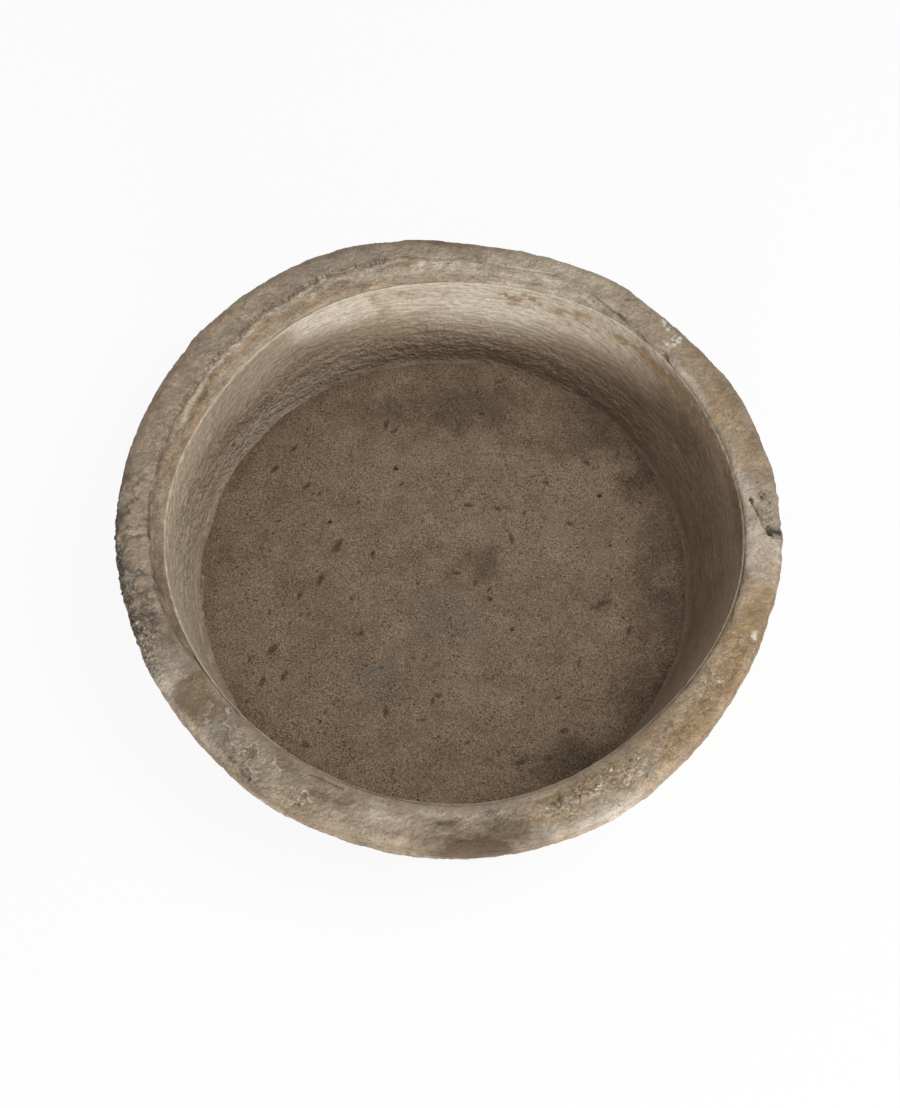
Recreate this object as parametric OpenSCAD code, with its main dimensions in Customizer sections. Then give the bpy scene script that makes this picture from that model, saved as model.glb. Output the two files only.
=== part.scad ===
// Round stone planter, cast and hand finished, millimetres, +Z up.
// The origin is the centre of the flat underside. +X is the side where the rim is narrowest.
// The vessel is round at its foot and drifts out of round on its way up to the rim.

/* [Vessel] */
// Mean diameter over the outer edge of the rim
rim_d = 607.2; // [540:0.2:680]
// How far the rim's outline sits off centre
rim_shift = 3.5; // [0:0.1:6]
// Height from the underside to the top of the rim
rim_h = 166; // [130:1:220]
// Diameter of the underside, over its rounded edge
foot_d = 536; // [480:1:600]
// Radius of the rounded edge round the underside
foot_edge = 6; // [2:0.5:10]
// How far the outer wall swells out from straight, half way up
belly = 3; // [0:0.5:8]
// Width of the worn shoulder round the rim's outer edge, seen from above
shoulder_w = 11; // [6:1:14]
// Height of the worn shoulder round the rim's outer edge
shoulder_h = 10; // [8:1:16]

/* [Base] */
// Thickness of the slab that the wall stands on
slab_t = 24; // [16:1:34]
// Thickness of the sandy bed laid on the slab
bed_t = 12; // [6:1:20]
// Gap round the bed, between its edge and the wall
bed_gap = 0.3; // [0.1:0.1:1]

/* [Hollow] */
// Width from the edge of the underside in to the edge of the hollow's floor
foot_w = 28; // [20:0.5:50]
// Mean width of the rim, from its outer edge in to the bead
rim_w = 44.5; // [38:0.5:60]
// How far the bead circle sits off centre
bead_shift = 9.6; // [0:0.1:12]
// Drop from the top of the rim to the foot of the bead, where the bevel is widest
bead_drop = 12; // [8:0.5:20]
// The same drop where the bevel is narrowest
bead_drop_min = 5; // [4.5:0.5:8]
// How far the bead's crown stands above its foot
bead_h = 2; // [1:0.5:3.5]
// Thickness of the smooth coat on the inside of the wall
lining_t = 5; // [3:0.5:8]
// Radius of the cove where the coat runs out on the floor
cove_r = 8; // [4:0.5:14]

/* [Rim cap] */
// Thickness of the skin on top of the rim
cap_t = 4; // [3:0.5:7]
// Width of the bevel inside the cap where it is narrowest
bevel_min = 2.5; // [2:0.5:8]
// Width of the bevel inside the cap where it is widest
bevel_max = 20; // [12:0.5:24]
// Direction in which the bevel is narrowest, in degrees from +X
bevel_dir = -70; // [-90:5:90]
// Depth of the waves along the cap's inner edge where the bevel is widest
fringe_d = 2; // [0.5:0.5:2.5]
// Number of waves along the cap's inner edge
fringe_n = 23; // [12:1:30]
// How much lower the rim's top lies at its low sides
rim_dip = 1.2; // [0:0.2:2]

/* [Out of round] */
// Swing of the rim's outline in two lobes
oval_rim = 4.4; // [0:0.1:6]
// Swing of the rim's outline in three lobes
three_rim = 3; // [0:0.1:4]
// Swing of the rim's outline in four lobes
four_rim = 1.6; // [0:0.1:2.5]
// Swing of the rim's outline in six lobes
six_rim = 1.2; // [0:0.1:2]
// Swing of the bead's outline in two lobes
oval_bead = 1.5; // [0:0.1:4]
// Swing of the bead's outline in three lobes
three_bead = 1.5; // [0:0.1:3]
// Swing of the bead's outline in four lobes
four_bead = 1.2; // [0:0.1:2]
// Swing of the bead's outline in five lobes
five_bead = 1.6; // [0:0.1:3]
// Swing of the bead's outline in six lobes
six_bead = 1.1; // [0:0.1:2]

/* [Hidden] */

// Directions of the shifts, and in which the lobes stand out furthest
rim_shift_dir = 30;
oval_rim_dir = -62;
three_rim_dir = 20;
four_rim_dir = 18;
six_rim_dir = -4;
bead_shift_dir = 0;
oval_bead_dir = 36;
three_bead_dir = 28;
four_bead_dir = 4;
five_bead_dir = -19;
six_bead_dir = -9;
rim_dip_dir = 112;

// Flat that the cap's fringe always keeps under it
fringe_ledge = 1;
// Share of the fringe's depth that is left where the bevel is narrowest
calm_share = 0.3;
// Share of the fringe that its main waves take, and the finer waves that take the rest
main_share = 0.6;
fine_n = fringe_n + 14;
fine_start = 50;
// Steps round the vessel, for the wall and for the finer edge of the cap
wall_steps = 144;
cap_steps = 288;
arc_steps = 6;
// Rows of facets up the joint between the wall and its lining
inner_rows = 4;

rim_r = rim_d / 2;
foot_r = foot_d / 2;
floor_r = foot_r - foot_w;
bead_r = rim_r - rim_w;
floor_z = slab_t + bed_t;
cap_z = rim_h - cap_t;
shoulder_z = rim_h - shoulder_h;

stone_grey = [0.62, 0.56, 0.49];
cap_tan = [0.72, 0.65, 0.56];
lining_buff = [0.66, 0.60, 0.52];
bed_sand = [0.52, 0.44, 0.36];
slab_brown = [0.50, 0.45, 0.40];

// Share from 0 to 1 that starts and ends gently
function ease(x) = let (t = max(0, min(1, x))) t * t * (3 - 2 * t);

// One lobed swing about a mean radius
function lobes(swing, count, dir, a) = swing * cos(count * (a - dir));

// Outer radius of the vessel at a height, round at the top of the slab and lobed at the rim
function wall_r(z) = let (up = min(1, z / shoulder_z))
    foot_r + (rim_r - foot_r) * up + belly * sin(180 * up);
function rim_swing(a) = lobes(rim_shift, 1, rim_shift_dir, a) + lobes(oval_rim, 2, oval_rim_dir, a)
    + lobes(three_rim, 3, three_rim_dir, a) + lobes(four_rim, 4, four_rim_dir, a)
    + lobes(six_rim, 6, six_rim_dir, a);
function outer_r(z, a) = wall_r(z) + rim_swing(a) * ease((z - slab_t) / (shoulder_z - slab_t));

// The shoulder is a quarter of an ellipse. Its angle is 0 at the wall and 90 at the top of the rim.
function shoulder_turn(z) = asin((z - shoulder_z) / shoulder_h);
function shoulder_r(turn, a) = outer_r(shoulder_z, a) - shoulder_w * (1 - cos(turn));

// The bead lies lowest on the side where the bevel is widest
function far_side(a) = (1 - cos(a - bevel_dir)) / 2;
function bead_z(a) = rim_h - bead_drop_min - (bead_drop - bead_drop_min) * far_side(a);

// Radius of the hollow at a height, round at the floor and off centre and lobed at the bead
function bead_swing(a) = lobes(bead_shift, 1, bead_shift_dir, a) + lobes(oval_bead, 2, oval_bead_dir, a)
    + lobes(three_bead, 3, three_bead_dir, a) + lobes(four_bead, 4, four_bead_dir, a)
    + lobes(five_bead, 5, five_bead_dir, a) + lobes(six_bead, 6, six_bead_dir, a);
function climb(z, a) = max(0, (z - floor_z) / (bead_z(a) - floor_z));
function hollow_r(z, a) = let (up = climb(z, a))
    floor_r + (bead_r - floor_r) * up + bead_swing(a) * ease(up);
function lining_back(z, a) = hollow_r(z, a) + lining_t;

// Inner edge of the cap, and of the flat that it lies on
function bevel_w(a) = bevel_min + (bevel_max - bevel_min) * pow(far_side(a), 2);
function fringe_w(a) = fringe_d * (calm_share + (1 - calm_share) * far_side(a));
function fringe(a) = fringe_w(a) * main_share * sin(fringe_n * a)
    + fringe_w(a) * (1 - main_share) * sin(fine_n * a + fine_start);
function flat_r(a) = lining_back(bead_z(a), a) + bevel_w(a) - fringe_w(a) - fringe_ledge;
function cap_inner_r(a) = lining_back(bead_z(a), a) + bevel_w(a) + fringe(a);
function rim_top(a) = rim_h - rim_dip * (1 - cos(2 * (a - rim_dip_dir))) / 2;

// Closed ring through a section that changes round the vessel.
// Each section is a list of [radius, height], the same number of points at every angle.
module ring_loft(sections) {
    turns = len(sections);
    count = len(sections[0]);
    points = [for (i = [0 : turns - 1])
        let (a = i * 360 / turns)
        for (p = sections[i]) [p[0] * cos(a), p[0] * sin(a), p[1]]];
    faces = [for (i = [0 : turns - 1])
        let (here = i * count, next = (i + 1) % turns * count)
        for (k = [0 : count - 1])
        let (n = (k + 1) % count)
        each [[here + k, here + n, next + n], [here + k, next + n, next + k]]];
    polyhedron(points = points, faces = faces, convexity = 6);
}

// Round slab with a rolled lower edge, turned in one piece
module base_slab() {
    edge = [for (i = [0 : arc_steps])
        let (t = i * 90 / arc_steps)
        [wall_r(foot_edge) - foot_edge + foot_edge * sin(t), foot_edge - foot_edge * cos(t)]];
    side = [for (i = [1 : arc_steps])
        let (z = foot_edge + (slab_t - foot_edge) * i / arc_steps)
        [wall_r(z), z]];
    color(slab_brown)
    rotate_extrude($fn = wall_steps)
    polygon(concat([[0, 0]], edge, side, [[0, slab_t]]));
}

// Thick tapered wall that stands on the slab, with a flat and a bevel at its top
module wall_shell() {
    outer_rows = 6;
    shoulder_rows = 2;
    color(stone_grey)
    ring_loft([for (i = [0 : wall_steps - 1])
        let (a = i * 360 / wall_steps)
        concat(
            [for (k = [0 : outer_rows])
                let (z = slab_t + (shoulder_z - slab_t) * k / outer_rows)
                [outer_r(z, a), z]],
            [for (k = [1 : shoulder_rows])
                let (turn = shoulder_turn(cap_z) * k / shoulder_rows)
                [shoulder_r(turn, a), shoulder_z + shoulder_h * sin(turn)]],
            [[flat_r(a), cap_z]],
            [for (k = [inner_rows : -1 : 0])
                let (z = floor_z + (bead_z(a) - floor_z) * k / inner_rows)
                [lining_back(z, a), z]],
            [[lining_back(floor_z, a), slab_t]])]);
}

// Thin skin on the flat of the rim, with a worn outer shoulder and a waving inner edge
module rim_cap() {
    edge_rows = 4;
    first_turn = shoulder_turn(cap_z);
    color(cap_tan)
    ring_loft([for (i = [0 : cap_steps - 1])
        let (a = i * 360 / cap_steps, in = cap_inner_r(a), top = rim_top(a))
        concat(
            [[in, cap_z]],
            [for (k = [0 : edge_rows])
                let (turn = first_turn + (90 - first_turn) * k / edge_rows)
                let (rise = (shoulder_z + shoulder_h * sin(turn) - cap_z) / cap_t)
                [shoulder_r(turn, a), cap_z + (top - cap_z) * rise]],
            [[in + cap_t / 2, top], [in, top - cap_t / 4]])]);
}

// Smooth coat on the inner wall, with a bead along its top and a cove on the floor
module wall_lining() {
    cove_rows = 3;
    wall_rows = 3;
    crown_rows = 4;
    color(lining_buff)
    ring_loft([for (i = [0 : wall_steps - 1])
        let (a = i * 360 / wall_steps, cove_z = floor_z + cove_r)
        let (top = bead_z(a), back = lining_back(top, a))
        concat(
            [[lining_back(floor_z, a), floor_z]],
            [for (k = [1 : inner_rows - 1])
                let (z = floor_z + (bead_z(a) - floor_z) * k / inner_rows)
                [lining_back(z, a), z]],
            [for (k = [0 : crown_rows])
                let (t = k * 180 / crown_rows)
                [back - lining_t / 2 + lining_t / 2 * cos(t), top + bead_h * sin(t)]],
            [for (k = [wall_rows - 1 : -1 : 1])
                let (z = cove_z + (top - cove_z) * k / wall_rows)
                [hollow_r(z, a), z]],
            [for (k = [0 : cove_rows])
                let (t = k * 90 / cove_rows, foot = hollow_r(cove_z, a) - cove_r)
                [foot + cove_r * cos(t), cove_z - cove_r * sin(t)]])]);
}

// Sandy bed that fills the bottom of the hollow
module floor_bed() {
    color(bed_sand)
    translate([0, 0, slab_t])
    cylinder(r = lining_back(floor_z, 0) - bed_gap, h = bed_t, $fn = wall_steps);
}

base_slab();
wall_shell();
rim_cap();
wall_lining();
floor_bed();
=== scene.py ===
# %% [markdown]
# # A round stone planter
# The real thing is a wide, shallow trough of cast stone. Its wall was coated inside with lime mortar
# up to a thin bead, its rim was dressed with a skin of mortar smeared on by hand, and sandy screed was
# laid in the bottom. Years outside left crusts, stains and chips. We build each layer as its own mesh
# and keep all of them on the CAD model, which gives every size.

# %% Load the frame
import functools
import math
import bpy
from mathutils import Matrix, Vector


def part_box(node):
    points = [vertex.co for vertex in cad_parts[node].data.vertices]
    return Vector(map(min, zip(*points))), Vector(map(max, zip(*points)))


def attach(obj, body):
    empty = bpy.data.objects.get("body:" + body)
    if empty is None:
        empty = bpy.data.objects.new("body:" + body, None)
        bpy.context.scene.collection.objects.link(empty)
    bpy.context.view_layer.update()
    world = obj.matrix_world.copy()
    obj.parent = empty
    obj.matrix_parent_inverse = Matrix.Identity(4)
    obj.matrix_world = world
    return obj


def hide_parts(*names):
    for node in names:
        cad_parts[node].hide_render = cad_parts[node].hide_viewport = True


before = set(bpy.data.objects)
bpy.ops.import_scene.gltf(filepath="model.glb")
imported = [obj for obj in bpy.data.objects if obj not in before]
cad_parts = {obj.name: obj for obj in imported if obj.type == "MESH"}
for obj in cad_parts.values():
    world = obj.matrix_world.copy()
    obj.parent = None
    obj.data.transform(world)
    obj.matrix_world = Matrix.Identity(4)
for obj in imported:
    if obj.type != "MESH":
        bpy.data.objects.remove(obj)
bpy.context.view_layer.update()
from types import SimpleNamespace
import bpy
import numpy as np
from mathutils import Vector
from mathutils.bvhtree import BVHTree

scene = bpy.context.scene
MM = 0.001

# %% [markdown]
# ## Camera
# The planter was looked at from high in front, about 65 degrees above the floor. We give the camera
# the tilt, the distance and the lens that make the circles of rim, bead and floor fall on their places.

# %% Camera
RIM_CENTRE = Vector((0.0, 0.0, 0.166))
AIM = RIM_CENTRE + Vector((0.006, -0.0345, 0.0))
CAMERA_TILT = math.radians(65.3)
CAMERA_DISTANCE = 1.5
FOCAL_PIXELS = 1660.0
PICTURE_HEIGHT = 1108.0
camera_data = bpy.data.cameras.new("camera")
camera = bpy.data.objects.new("camera", camera_data)
scene.collection.objects.link(camera)
camera.location = RIM_CENTRE + CAMERA_DISTANCE * Vector(
    (0.0, -math.cos(CAMERA_TILT), math.sin(CAMERA_TILT)))
camera.rotation_euler = (AIM - camera.location).to_track_quat("-Z", "Y").to_euler()
camera_data.sensor_fit = "VERTICAL"
camera_data.sensor_height = 36.0
camera_data.lens = FOCAL_PIXELS / PICTURE_HEIGHT * camera_data.sensor_height
scene.camera = camera
print("lens", round(camera_data.lens, 2), "mm")

# %% [markdown]
# ## Reading the shape off the CAD model
# Nothing here is exactly round, so a circle of one radius won't do. We shoot rays at the CAD pieces at
# a few heights, all the way round, and keep the slow waves of what they hit. That smooths away the
# facets and leaves the true outline, which all our rings then follow.

# %% Rays round the CAD pieces
RAYS = 720
ray_angles = np.arange(RAYS) * 360.0 / RAYS
cad_trees = {}
for name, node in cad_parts.items():
    corners = [v.co.copy() for v in node.data.vertices]
    sides = [tuple(p.vertices) for p in node.data.polygons]
    cad_trees[name] = BVHTree.FromPolygons(corners, sides)


def slow_waves(values, waves=12):
    """A ring of values with only its slow waves kept."""
    spectrum = np.fft.rfft(values)
    spectrum[waves + 1:] = 0
    return np.fft.irfft(spectrum, RAYS)


def ray_radii(name, heights, from_inside):
    """Radii in mm of a CAD piece all round, at one height in mm or at a height for each ray."""
    radii = np.zeros(RAYS)
    heights = np.broadcast_to(heights, RAYS)
    for k, angle in enumerate(np.radians(ray_angles)):
        way = Vector((math.cos(angle), math.sin(angle), 0.0))
        middle = Vector((0.0, 0.0, heights[k] * MM))
        start = middle if from_inside else middle + way * 0.5
        hit = cad_trees[name].ray_cast(start, way if from_inside else -way)[0]
        radii[k] = math.hypot(hit.x, hit.y) / MM
    return radii


def ray_tops(name, radii):
    """Heights in mm of the top of a CAD piece at a radius in mm for each ray."""
    tops = np.zeros(RAYS)
    for k, angle in enumerate(np.radians(ray_angles)):
        start = Vector((radii[k] * MM * math.cos(angle), radii[k] * MM * math.sin(angle), 0.5))
        hit = cad_trees[name].ray_cast(start, Vector((0.0, 0.0, -1.0)))[0]
        tops[k] = hit.z / MM if hit else 0.0
    return tops


# %% Heights and rings of the CAD model, in mm
slab_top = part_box("base_slab")[1].z / MM
bed_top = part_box("floor_bed")[1].z / MM
cap_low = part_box("rim_cap")[0].z / MM
rim_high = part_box("rim_cap")[1].z / MM
BEAD_HEIGHT = 2.0
SHOULDER_HEIGHT = 10.0
SHOULDER_WIDTH = 11.0
COAT_THICKNESS = 5.0
shoulder_foot = rim_high - SHOULDER_HEIGHT
outer_heights = np.array([slab_top + 1, 50, 76, 102, 128, shoulder_foot - 0.5])
outer_rings = np.array([slow_waves(ray_radii("wall_shell", z, False)) for z in outer_heights])
# A level ray at this height meets the inner wall below the bead, wherever it points
SAFE_HEIGHT = 150.0
near_bead = ray_radii("wall_lining", SAFE_HEIGHT, True)
crown_tops = np.max([ray_tops("wall_lining", near_bead + step) for step in np.arange(1.5, 7.5, 0.5)], axis=0)
foot_ring = slow_waves(crown_tops) - BEAD_HEIGHT
hollow_shares = np.array([0.08, 0.3, 0.55, 0.8, 0.995])
hollow_rings = np.array([slow_waves(ray_radii("wall_lining", bed_top + share * (foot_ring - bed_top), True))
                         for share in hollow_shares])
cap_ring = ray_radii("rim_cap", cap_low + 1, True)
slab_low_ring = slow_waves(ray_radii("base_slab", 8.0, False))
print("rim", outer_rings[-1].min().round(1), outer_rings[-1].max().round(1),
      "bead", hollow_rings[-1].min().round(1), hollow_rings[-1].max().round(1),
      "bead foot", foot_ring.min().round(1), foot_ring.max().round(1))


def ring_at(ring, degrees):
    """Radius of a ring at any angles."""
    return np.interp(np.asarray(degrees) % 360.0, ray_angles, ring, period=360.0)


def rings_at(rings, heights, wanted, degrees):
    """Radii at any angles and at heights between the measured rings, turns x count."""
    columns = []
    for z in wanted:
        k = int(np.clip(np.searchsorted(heights, z) - 1, 0, len(heights) - 2))
        share = (z - heights[k]) / (heights[k + 1] - heights[k])
        columns.append(ring_at(rings[k] * (1 - share) + rings[k + 1] * share, degrees))
    return np.hstack(columns)


# %% [markdown]
# ## Roughness from random lattices
# Stone has no exact pattern. We fill a small cube of space with random numbers, read it smoothly at any
# point, and add finer and finer copies. Because it is read in space and not on an unrolled strip,
# there is no seam where the ring closes. A fixed seed gives the same stone on each run.

# %% Smooth random values in space
dice = np.random.default_rng(24)
CUBE = 64
lattice = dice.uniform(-1.0, 1.0, (CUBE, CUBE, CUBE)).astype(np.float32)


def smooth_noise(cells, shift):
    """Random values from -1 to 1 that run smoothly through space. cells is in units of one wave."""
    q = cells + np.array([17.3, 5.7, 11.1]) * shift
    low = np.floor(q)
    f = q - low
    f = f * f * f * (f * (f * 6 - 15) + 10)
    i, j, k = [low[..., n].astype(np.int64) % CUBE for n in range(3)]
    i1, j1, k1 = (i + 1) % CUBE, (j + 1) % CUBE, (k + 1) % CUBE
    fx, fy, fz = f[..., 0], f[..., 1], f[..., 2]
    near = (lattice[i, j, k] * (1 - fx) + lattice[i1, j, k] * fx) * (1 - fy) \
        + (lattice[i, j1, k] * (1 - fx) + lattice[i1, j1, k] * fx) * fy
    far = (lattice[i, j, k1] * (1 - fx) + lattice[i1, j, k1] * fx) * (1 - fy) \
        + (lattice[i, j1, k1] * (1 - fx) + lattice[i1, j1, k1] * fx) * fy
    return near * (1 - fz) + far * fz


def rough(points, size, layers=4, shift=0, fade=0.55):
    """Layered noise. size is the longest wave in mm, and each layer is half as long as the last."""
    total, weight, height = 0.0, 0.0, 1.0
    for n in range(layers):
        total = total + height * smooth_noise(points * (2 ** n / size), shift + n)
        weight += height ** 2
        height *= fade
    return total / math.sqrt(weight) * 1.6


# %% Scattered spots in space
spot_places = dice.uniform(0.0, 1.0, (CUBE, CUBE, CUBE, 3)).astype(np.float32)
spot_luck = dice.uniform(0.0, 1.0, (CUBE, CUBE, CUBE)).astype(np.float32)


def nearest_spot(points, size, shift=0):
    """Distance in mm to the nearest of the spots strewn size mm apart, and that spot's own chance."""
    q = points / size + np.array([3.1, 29.7, 13.9]) * shift
    low = np.floor(q).astype(np.int64)
    best = np.full(q.shape[:-1], 9.0)
    luck = np.zeros(q.shape[:-1])
    for dx in (-1, 0, 1):
        for dy in (-1, 0, 1):
            for dz in (-1, 0, 1):
                cell = low + np.array([dx, dy, dz])
                i, j, k = [cell[..., n] % CUBE for n in range(3)]
                away = np.linalg.norm(cell + spot_places[i, j, k] - q, axis=-1)
                nearer = away < best
                best = np.where(nearer, away, best)
                luck = np.where(nearer, spot_luck[i, j, k], luck)
    return best * size, luck


def ease(x, low=0.0, high=1.0):
    """Runs gently from 0 at low to 1 at high."""
    t = np.clip((x - low) / (high - low), 0.0, 1.0)
    return t * t * (3 - 2 * t)


# %% [markdown]
# ## Placing marks on the rim
# Marks on the rim are told by two numbers: the angle round the planter, and the way inward from the
# outer edge in mm (below zero on the outer wall). Ovals, lines and patches in these two numbers are
# easy to think of, like notes in a mason's sketchbook.

# %% Ovals and lines in angle and way inward
ARC_MM = 5.2


def turn_from(degrees, centre):
    """Signed angle from a centre, from -180 to 180."""
    return (degrees - centre + 180.0) % 360.0 - 180.0


def ovals(degrees, inward, marks, core=0.3, rim=1.3):
    """Soft ovals: angle, inward mm, half length along the rim in degrees, half width in mm, strength."""
    cover = np.zeros(np.broadcast(degrees, inward).shape)
    for angle, middle, long_half, wide_half, strength in marks:
        reach = np.hypot(turn_from(degrees, angle) / long_half, (inward - middle) / wide_half)
        cover = np.maximum(cover, strength * (1 - ease(reach, core, rim)))
    return cover


def line_distance(degrees, inward, stops):
    """Distance in mm to a line through the stops, given as angle and inward mm."""
    nearest = np.full(np.broadcast(degrees, inward).shape, 99.0)
    for (a0, u0), (a1, u1) in zip(stops[:-1], stops[1:]):
        x, y = turn_from(degrees, a0) * ARC_MM, inward - u0
        ex, ey = (a1 - a0) * ARC_MM, u1 - u0
        along = np.clip((x * ex + y * ey) / (ex * ex + ey * ey), 0.0, 1.0)
        nearest = np.minimum(nearest, np.hypot(x - along * ex, y - along * ey))
    return nearest


# %% [markdown]
# ## From rings to meshes
# Skin, wall and coat are closed rings: one section drawn as a loop of points, carried round the planter.
# We make the grid of points, let the roughness push each point along the surface's own normal, and
# write the mesh in one go. Masks for stains ride along as named values on the points, where the
# material can read them. The slab and the bed are flat inside, so they are closed in their own ways.

# %% Write a mesh from arrays
def make_piece(name, points, faces, masks, node):
    """A closed mesh from points in mm and faces of one length, with named values on its points."""
    mesh = bpy.data.meshes.new(name)
    corners = faces.shape[1]
    mesh.vertices.add(len(points))
    mesh.vertices.foreach_set("co", (points * MM).astype(np.float32).ravel())
    mesh.loops.add(faces.size)
    mesh.loops.foreach_set("vertex_index", faces.astype(np.int32).ravel())
    mesh.polygons.add(len(faces))
    mesh.polygons.foreach_set("loop_start", np.arange(0, faces.size, corners, dtype=np.int32))
    mesh.update(calc_edges=True)
    mesh.polygons.foreach_set("use_smooth", np.ones(len(faces), bool))
    for mask_name, values in masks.items():
        layer = mesh.attributes.new(mask_name, "FLOAT", "POINT")
        layer.data.foreach_set("value", np.asarray(values, np.float32).ravel())
    mesh.validate()
    piece = bpy.data.objects.new(name, mesh)
    scene.collection.objects.link(piece)
    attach(piece, "root")
    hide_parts(node)
    print(name, len(points), "points", len(faces) * (corners - 2), "triangles")
    return piece


def ring_faces(turns, count):
    """Quads over a closed grid of turns x count points, facing out."""
    i, k = np.meshgrid(np.arange(turns), np.arange(count), indexing="ij")
    i1, k1 = (i + 1) % turns, (k + 1) % count
    quads = np.stack([i * count + k, i1 * count + k, i1 * count + k1, i * count + k1], -1)
    return quads.reshape(-1, 4)


def ring_points(degrees, radii, heights):
    """Points in mm on rings. radii and heights are turns x count."""
    a = np.radians(degrees)
    return np.stack([radii * np.cos(a), radii * np.sin(a), heights + 0 * radii], -1)


def out_normals(points):
    """Normals of a closed grid of turns x count points, from the neighbours of each point."""
    round_way = np.roll(points, -1, 0) - np.roll(points, 1, 0)
    up_way = np.roll(points, -1, 1) - np.roll(points, 1, 1)
    n = np.cross(round_way, up_way)
    return n / np.maximum(np.linalg.norm(n, axis=-1, keepdims=True), 1e-9)


def leaning_out(degrees, lean):
    """Normals that point away from the planter's axis and up by lean degrees."""
    a, t = np.radians(degrees[:, 0]), math.radians(lean)
    return np.stack([np.cos(a) * math.cos(t), np.sin(a) * math.cos(t), np.sin(t) + 0 * a], -1)


# %% [markdown]
# Where two layers meet in a seam, both have the same angles and the same relief, and the points of the
# seam also get the same normals. So they move as one and no gap opens.

# %% One ring piece from its grid
TURNS = 1600


def turn_angles(turns):
    """Even angles round the planter, as a column."""
    return (np.arange(turns) * 360.0 / turns)[:, None]


def ring_piece(name, degrees, at, relief, masks, node, seams=()):
    """Pushes a grid out by its relief in mm. seams gives rows of points and the lean of their normals."""
    normals = out_normals(at)
    for row, lean in seams:
        normals[:, row] = leaning_out(degrees, lean)
    points = at + normals * relief[..., None]
    return make_piece(name, points.reshape(-1, 3), ring_faces(*at.shape[:2]), masks, node)


# %% [markdown]
# ## The weathered outside, told once
# The skin on the rim and the stone below it meet in a seam that must not show. So one function tells
# the marks and the relief for both, from the angle, the way inward and the place in space. Where two
# meshes touch, they get the same answer.

# %% Where the skin ends inside
THIN_BEAD = 2.4
TURN_IN_STOPS = [
    (36, 37.0), (41, 34.0), (46, 32.3), (50, 30.5), (54, 28.5), (57, 26.0), (61, 22.0), (67, 20.5),
    (75, 24.0), (84, 27.0)]


def rolled_over(degrees):
    """1 where the skin runs on down to the bead, 0 where it ends short of it."""
    turned_in = ease(degrees, 37.0, 42.0) * (degrees < 120)
    return ease(np.abs(turn_from(degrees, 126.0)), 70.0, 92.0) * (1 - turned_in)


def skin_end(degrees):
    """Radius in mm where the skin's inner edge ends."""
    circle = np.stack([np.cos(np.radians(degrees)), np.sin(np.radians(degrees)), 0 * degrees], -1) * 290
    teeth = ovals(degrees, 0 * degrees, [(124, 0, 32, 5, 1.0), (90, 0, 12, 5, 0.7)], 0.6, 1.3)
    ragged = rough(circle, 26, 3, shift=70) * 0.8 + rough(circle, 4.6, 2, shift=72) * 1.5 * teeth
    turned_in = ease(degrees, 37.0, 42.0) * (1 - ease(degrees, 76.0, 84.0))
    stops = np.array(TURN_IN_STOPS)
    drawn_edge = ring_at(outer_rings[-1], degrees) - np.interp(degrees, stops[:, 0], stops[:, 1])
    ends_short = ring_at(cap_ring, degrees) * (1 - turned_in) + drawn_edge * turned_in + ragged
    rolled = rolled_over(degrees)
    at_bead = ring_at(hollow_rings[-1], degrees) + 0.8 * THIN_BEAD
    return ends_short * (1 - rolled) + at_bead * rolled


def skin_end_height(degrees):
    """Height in mm of the skin's surface at its inner edge."""
    rolled = rolled_over(degrees)
    return rim_high * (1 - rolled) + (ring_at(foot_ring, degrees) + 1.2) * rolled


# %% Stains on the rim
CREAM_MARKS = [
    (-6, 19, 9, 19, 1.9), (100, 54, 14, 7, 0.5), (350, 22, 8, 14, 0.9), (5, 28, 8, 8, 1.0),
    (66, 24, 10, 8, 0.8), (84, 26, 9, 8, 0.6), (76, 38, 9, 8, 0.8), (96, 40, 12, 8, 0.4),
    (135, 54, 30, 7, 0.5), (212, 7, 4, 8, 0.8), (219, 3, 6, 4, 0.7), (226, 5, 5, 5, 0.5),
    (258, 24, 5, 8, 0.5), (300, 24, 12, 7, 0.4), (324, 24, 9, 8, 0.85), (345, 25, 8, 8, 0.4),
    (66, 10, 16, 11, 0.4), (34, 35, 12, 6, 0.75), (50, 38, 13, 6, 0.75), (62, 27, 12, 9, 0.75),
    (68, 36, 12, 8, 0.6), (76, 22, 9, 8, 0.5), (66, 8, 12, 7, 0.3), (84, 33, 8, 6, 0.75),
    (93, 33, 6, 6, 1.0), (98, 44, 8, 4, 0.4), (108, 37.5, 8, 2.6, 0.75), (121, 38.5, 8, 2.6, 0.8),
    (123, 42, 3, 2.5, 0.7), (136, 38.5, 10, 2.4, 0.75), (151, 37.5, 8, 2.4, 0.6), (160, 37, 5, 2, 0.3),
    (80, 50, 14, 5, 0.5), (100, 60, 14, 4, 0.5), (286, 8, 6, 8, 0.7), (298, 7, 9, 9, 1.2),
    (308, 10, 5, 9, 0.6), (300, 19, 4, 5, 0.7), (263, 20, 5, 10, 0.35), (252, 12, 7, 8, 0.2),
    (261, 35, 14, 5, 0.3), (246, 8, 4, 6, 0.2), (211, 16, 3, 14, 0.45), (330, 30, 4, 4, 0.3),
    (322, 20, 3, 3, 0.5), (317, 12, 3, 4, 0.4), (327, 14, 3, 3, 0.45), (288, 42, 9, 2.5, 0.3),
    (345, 12, 5, 8, 0.45)]
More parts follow.
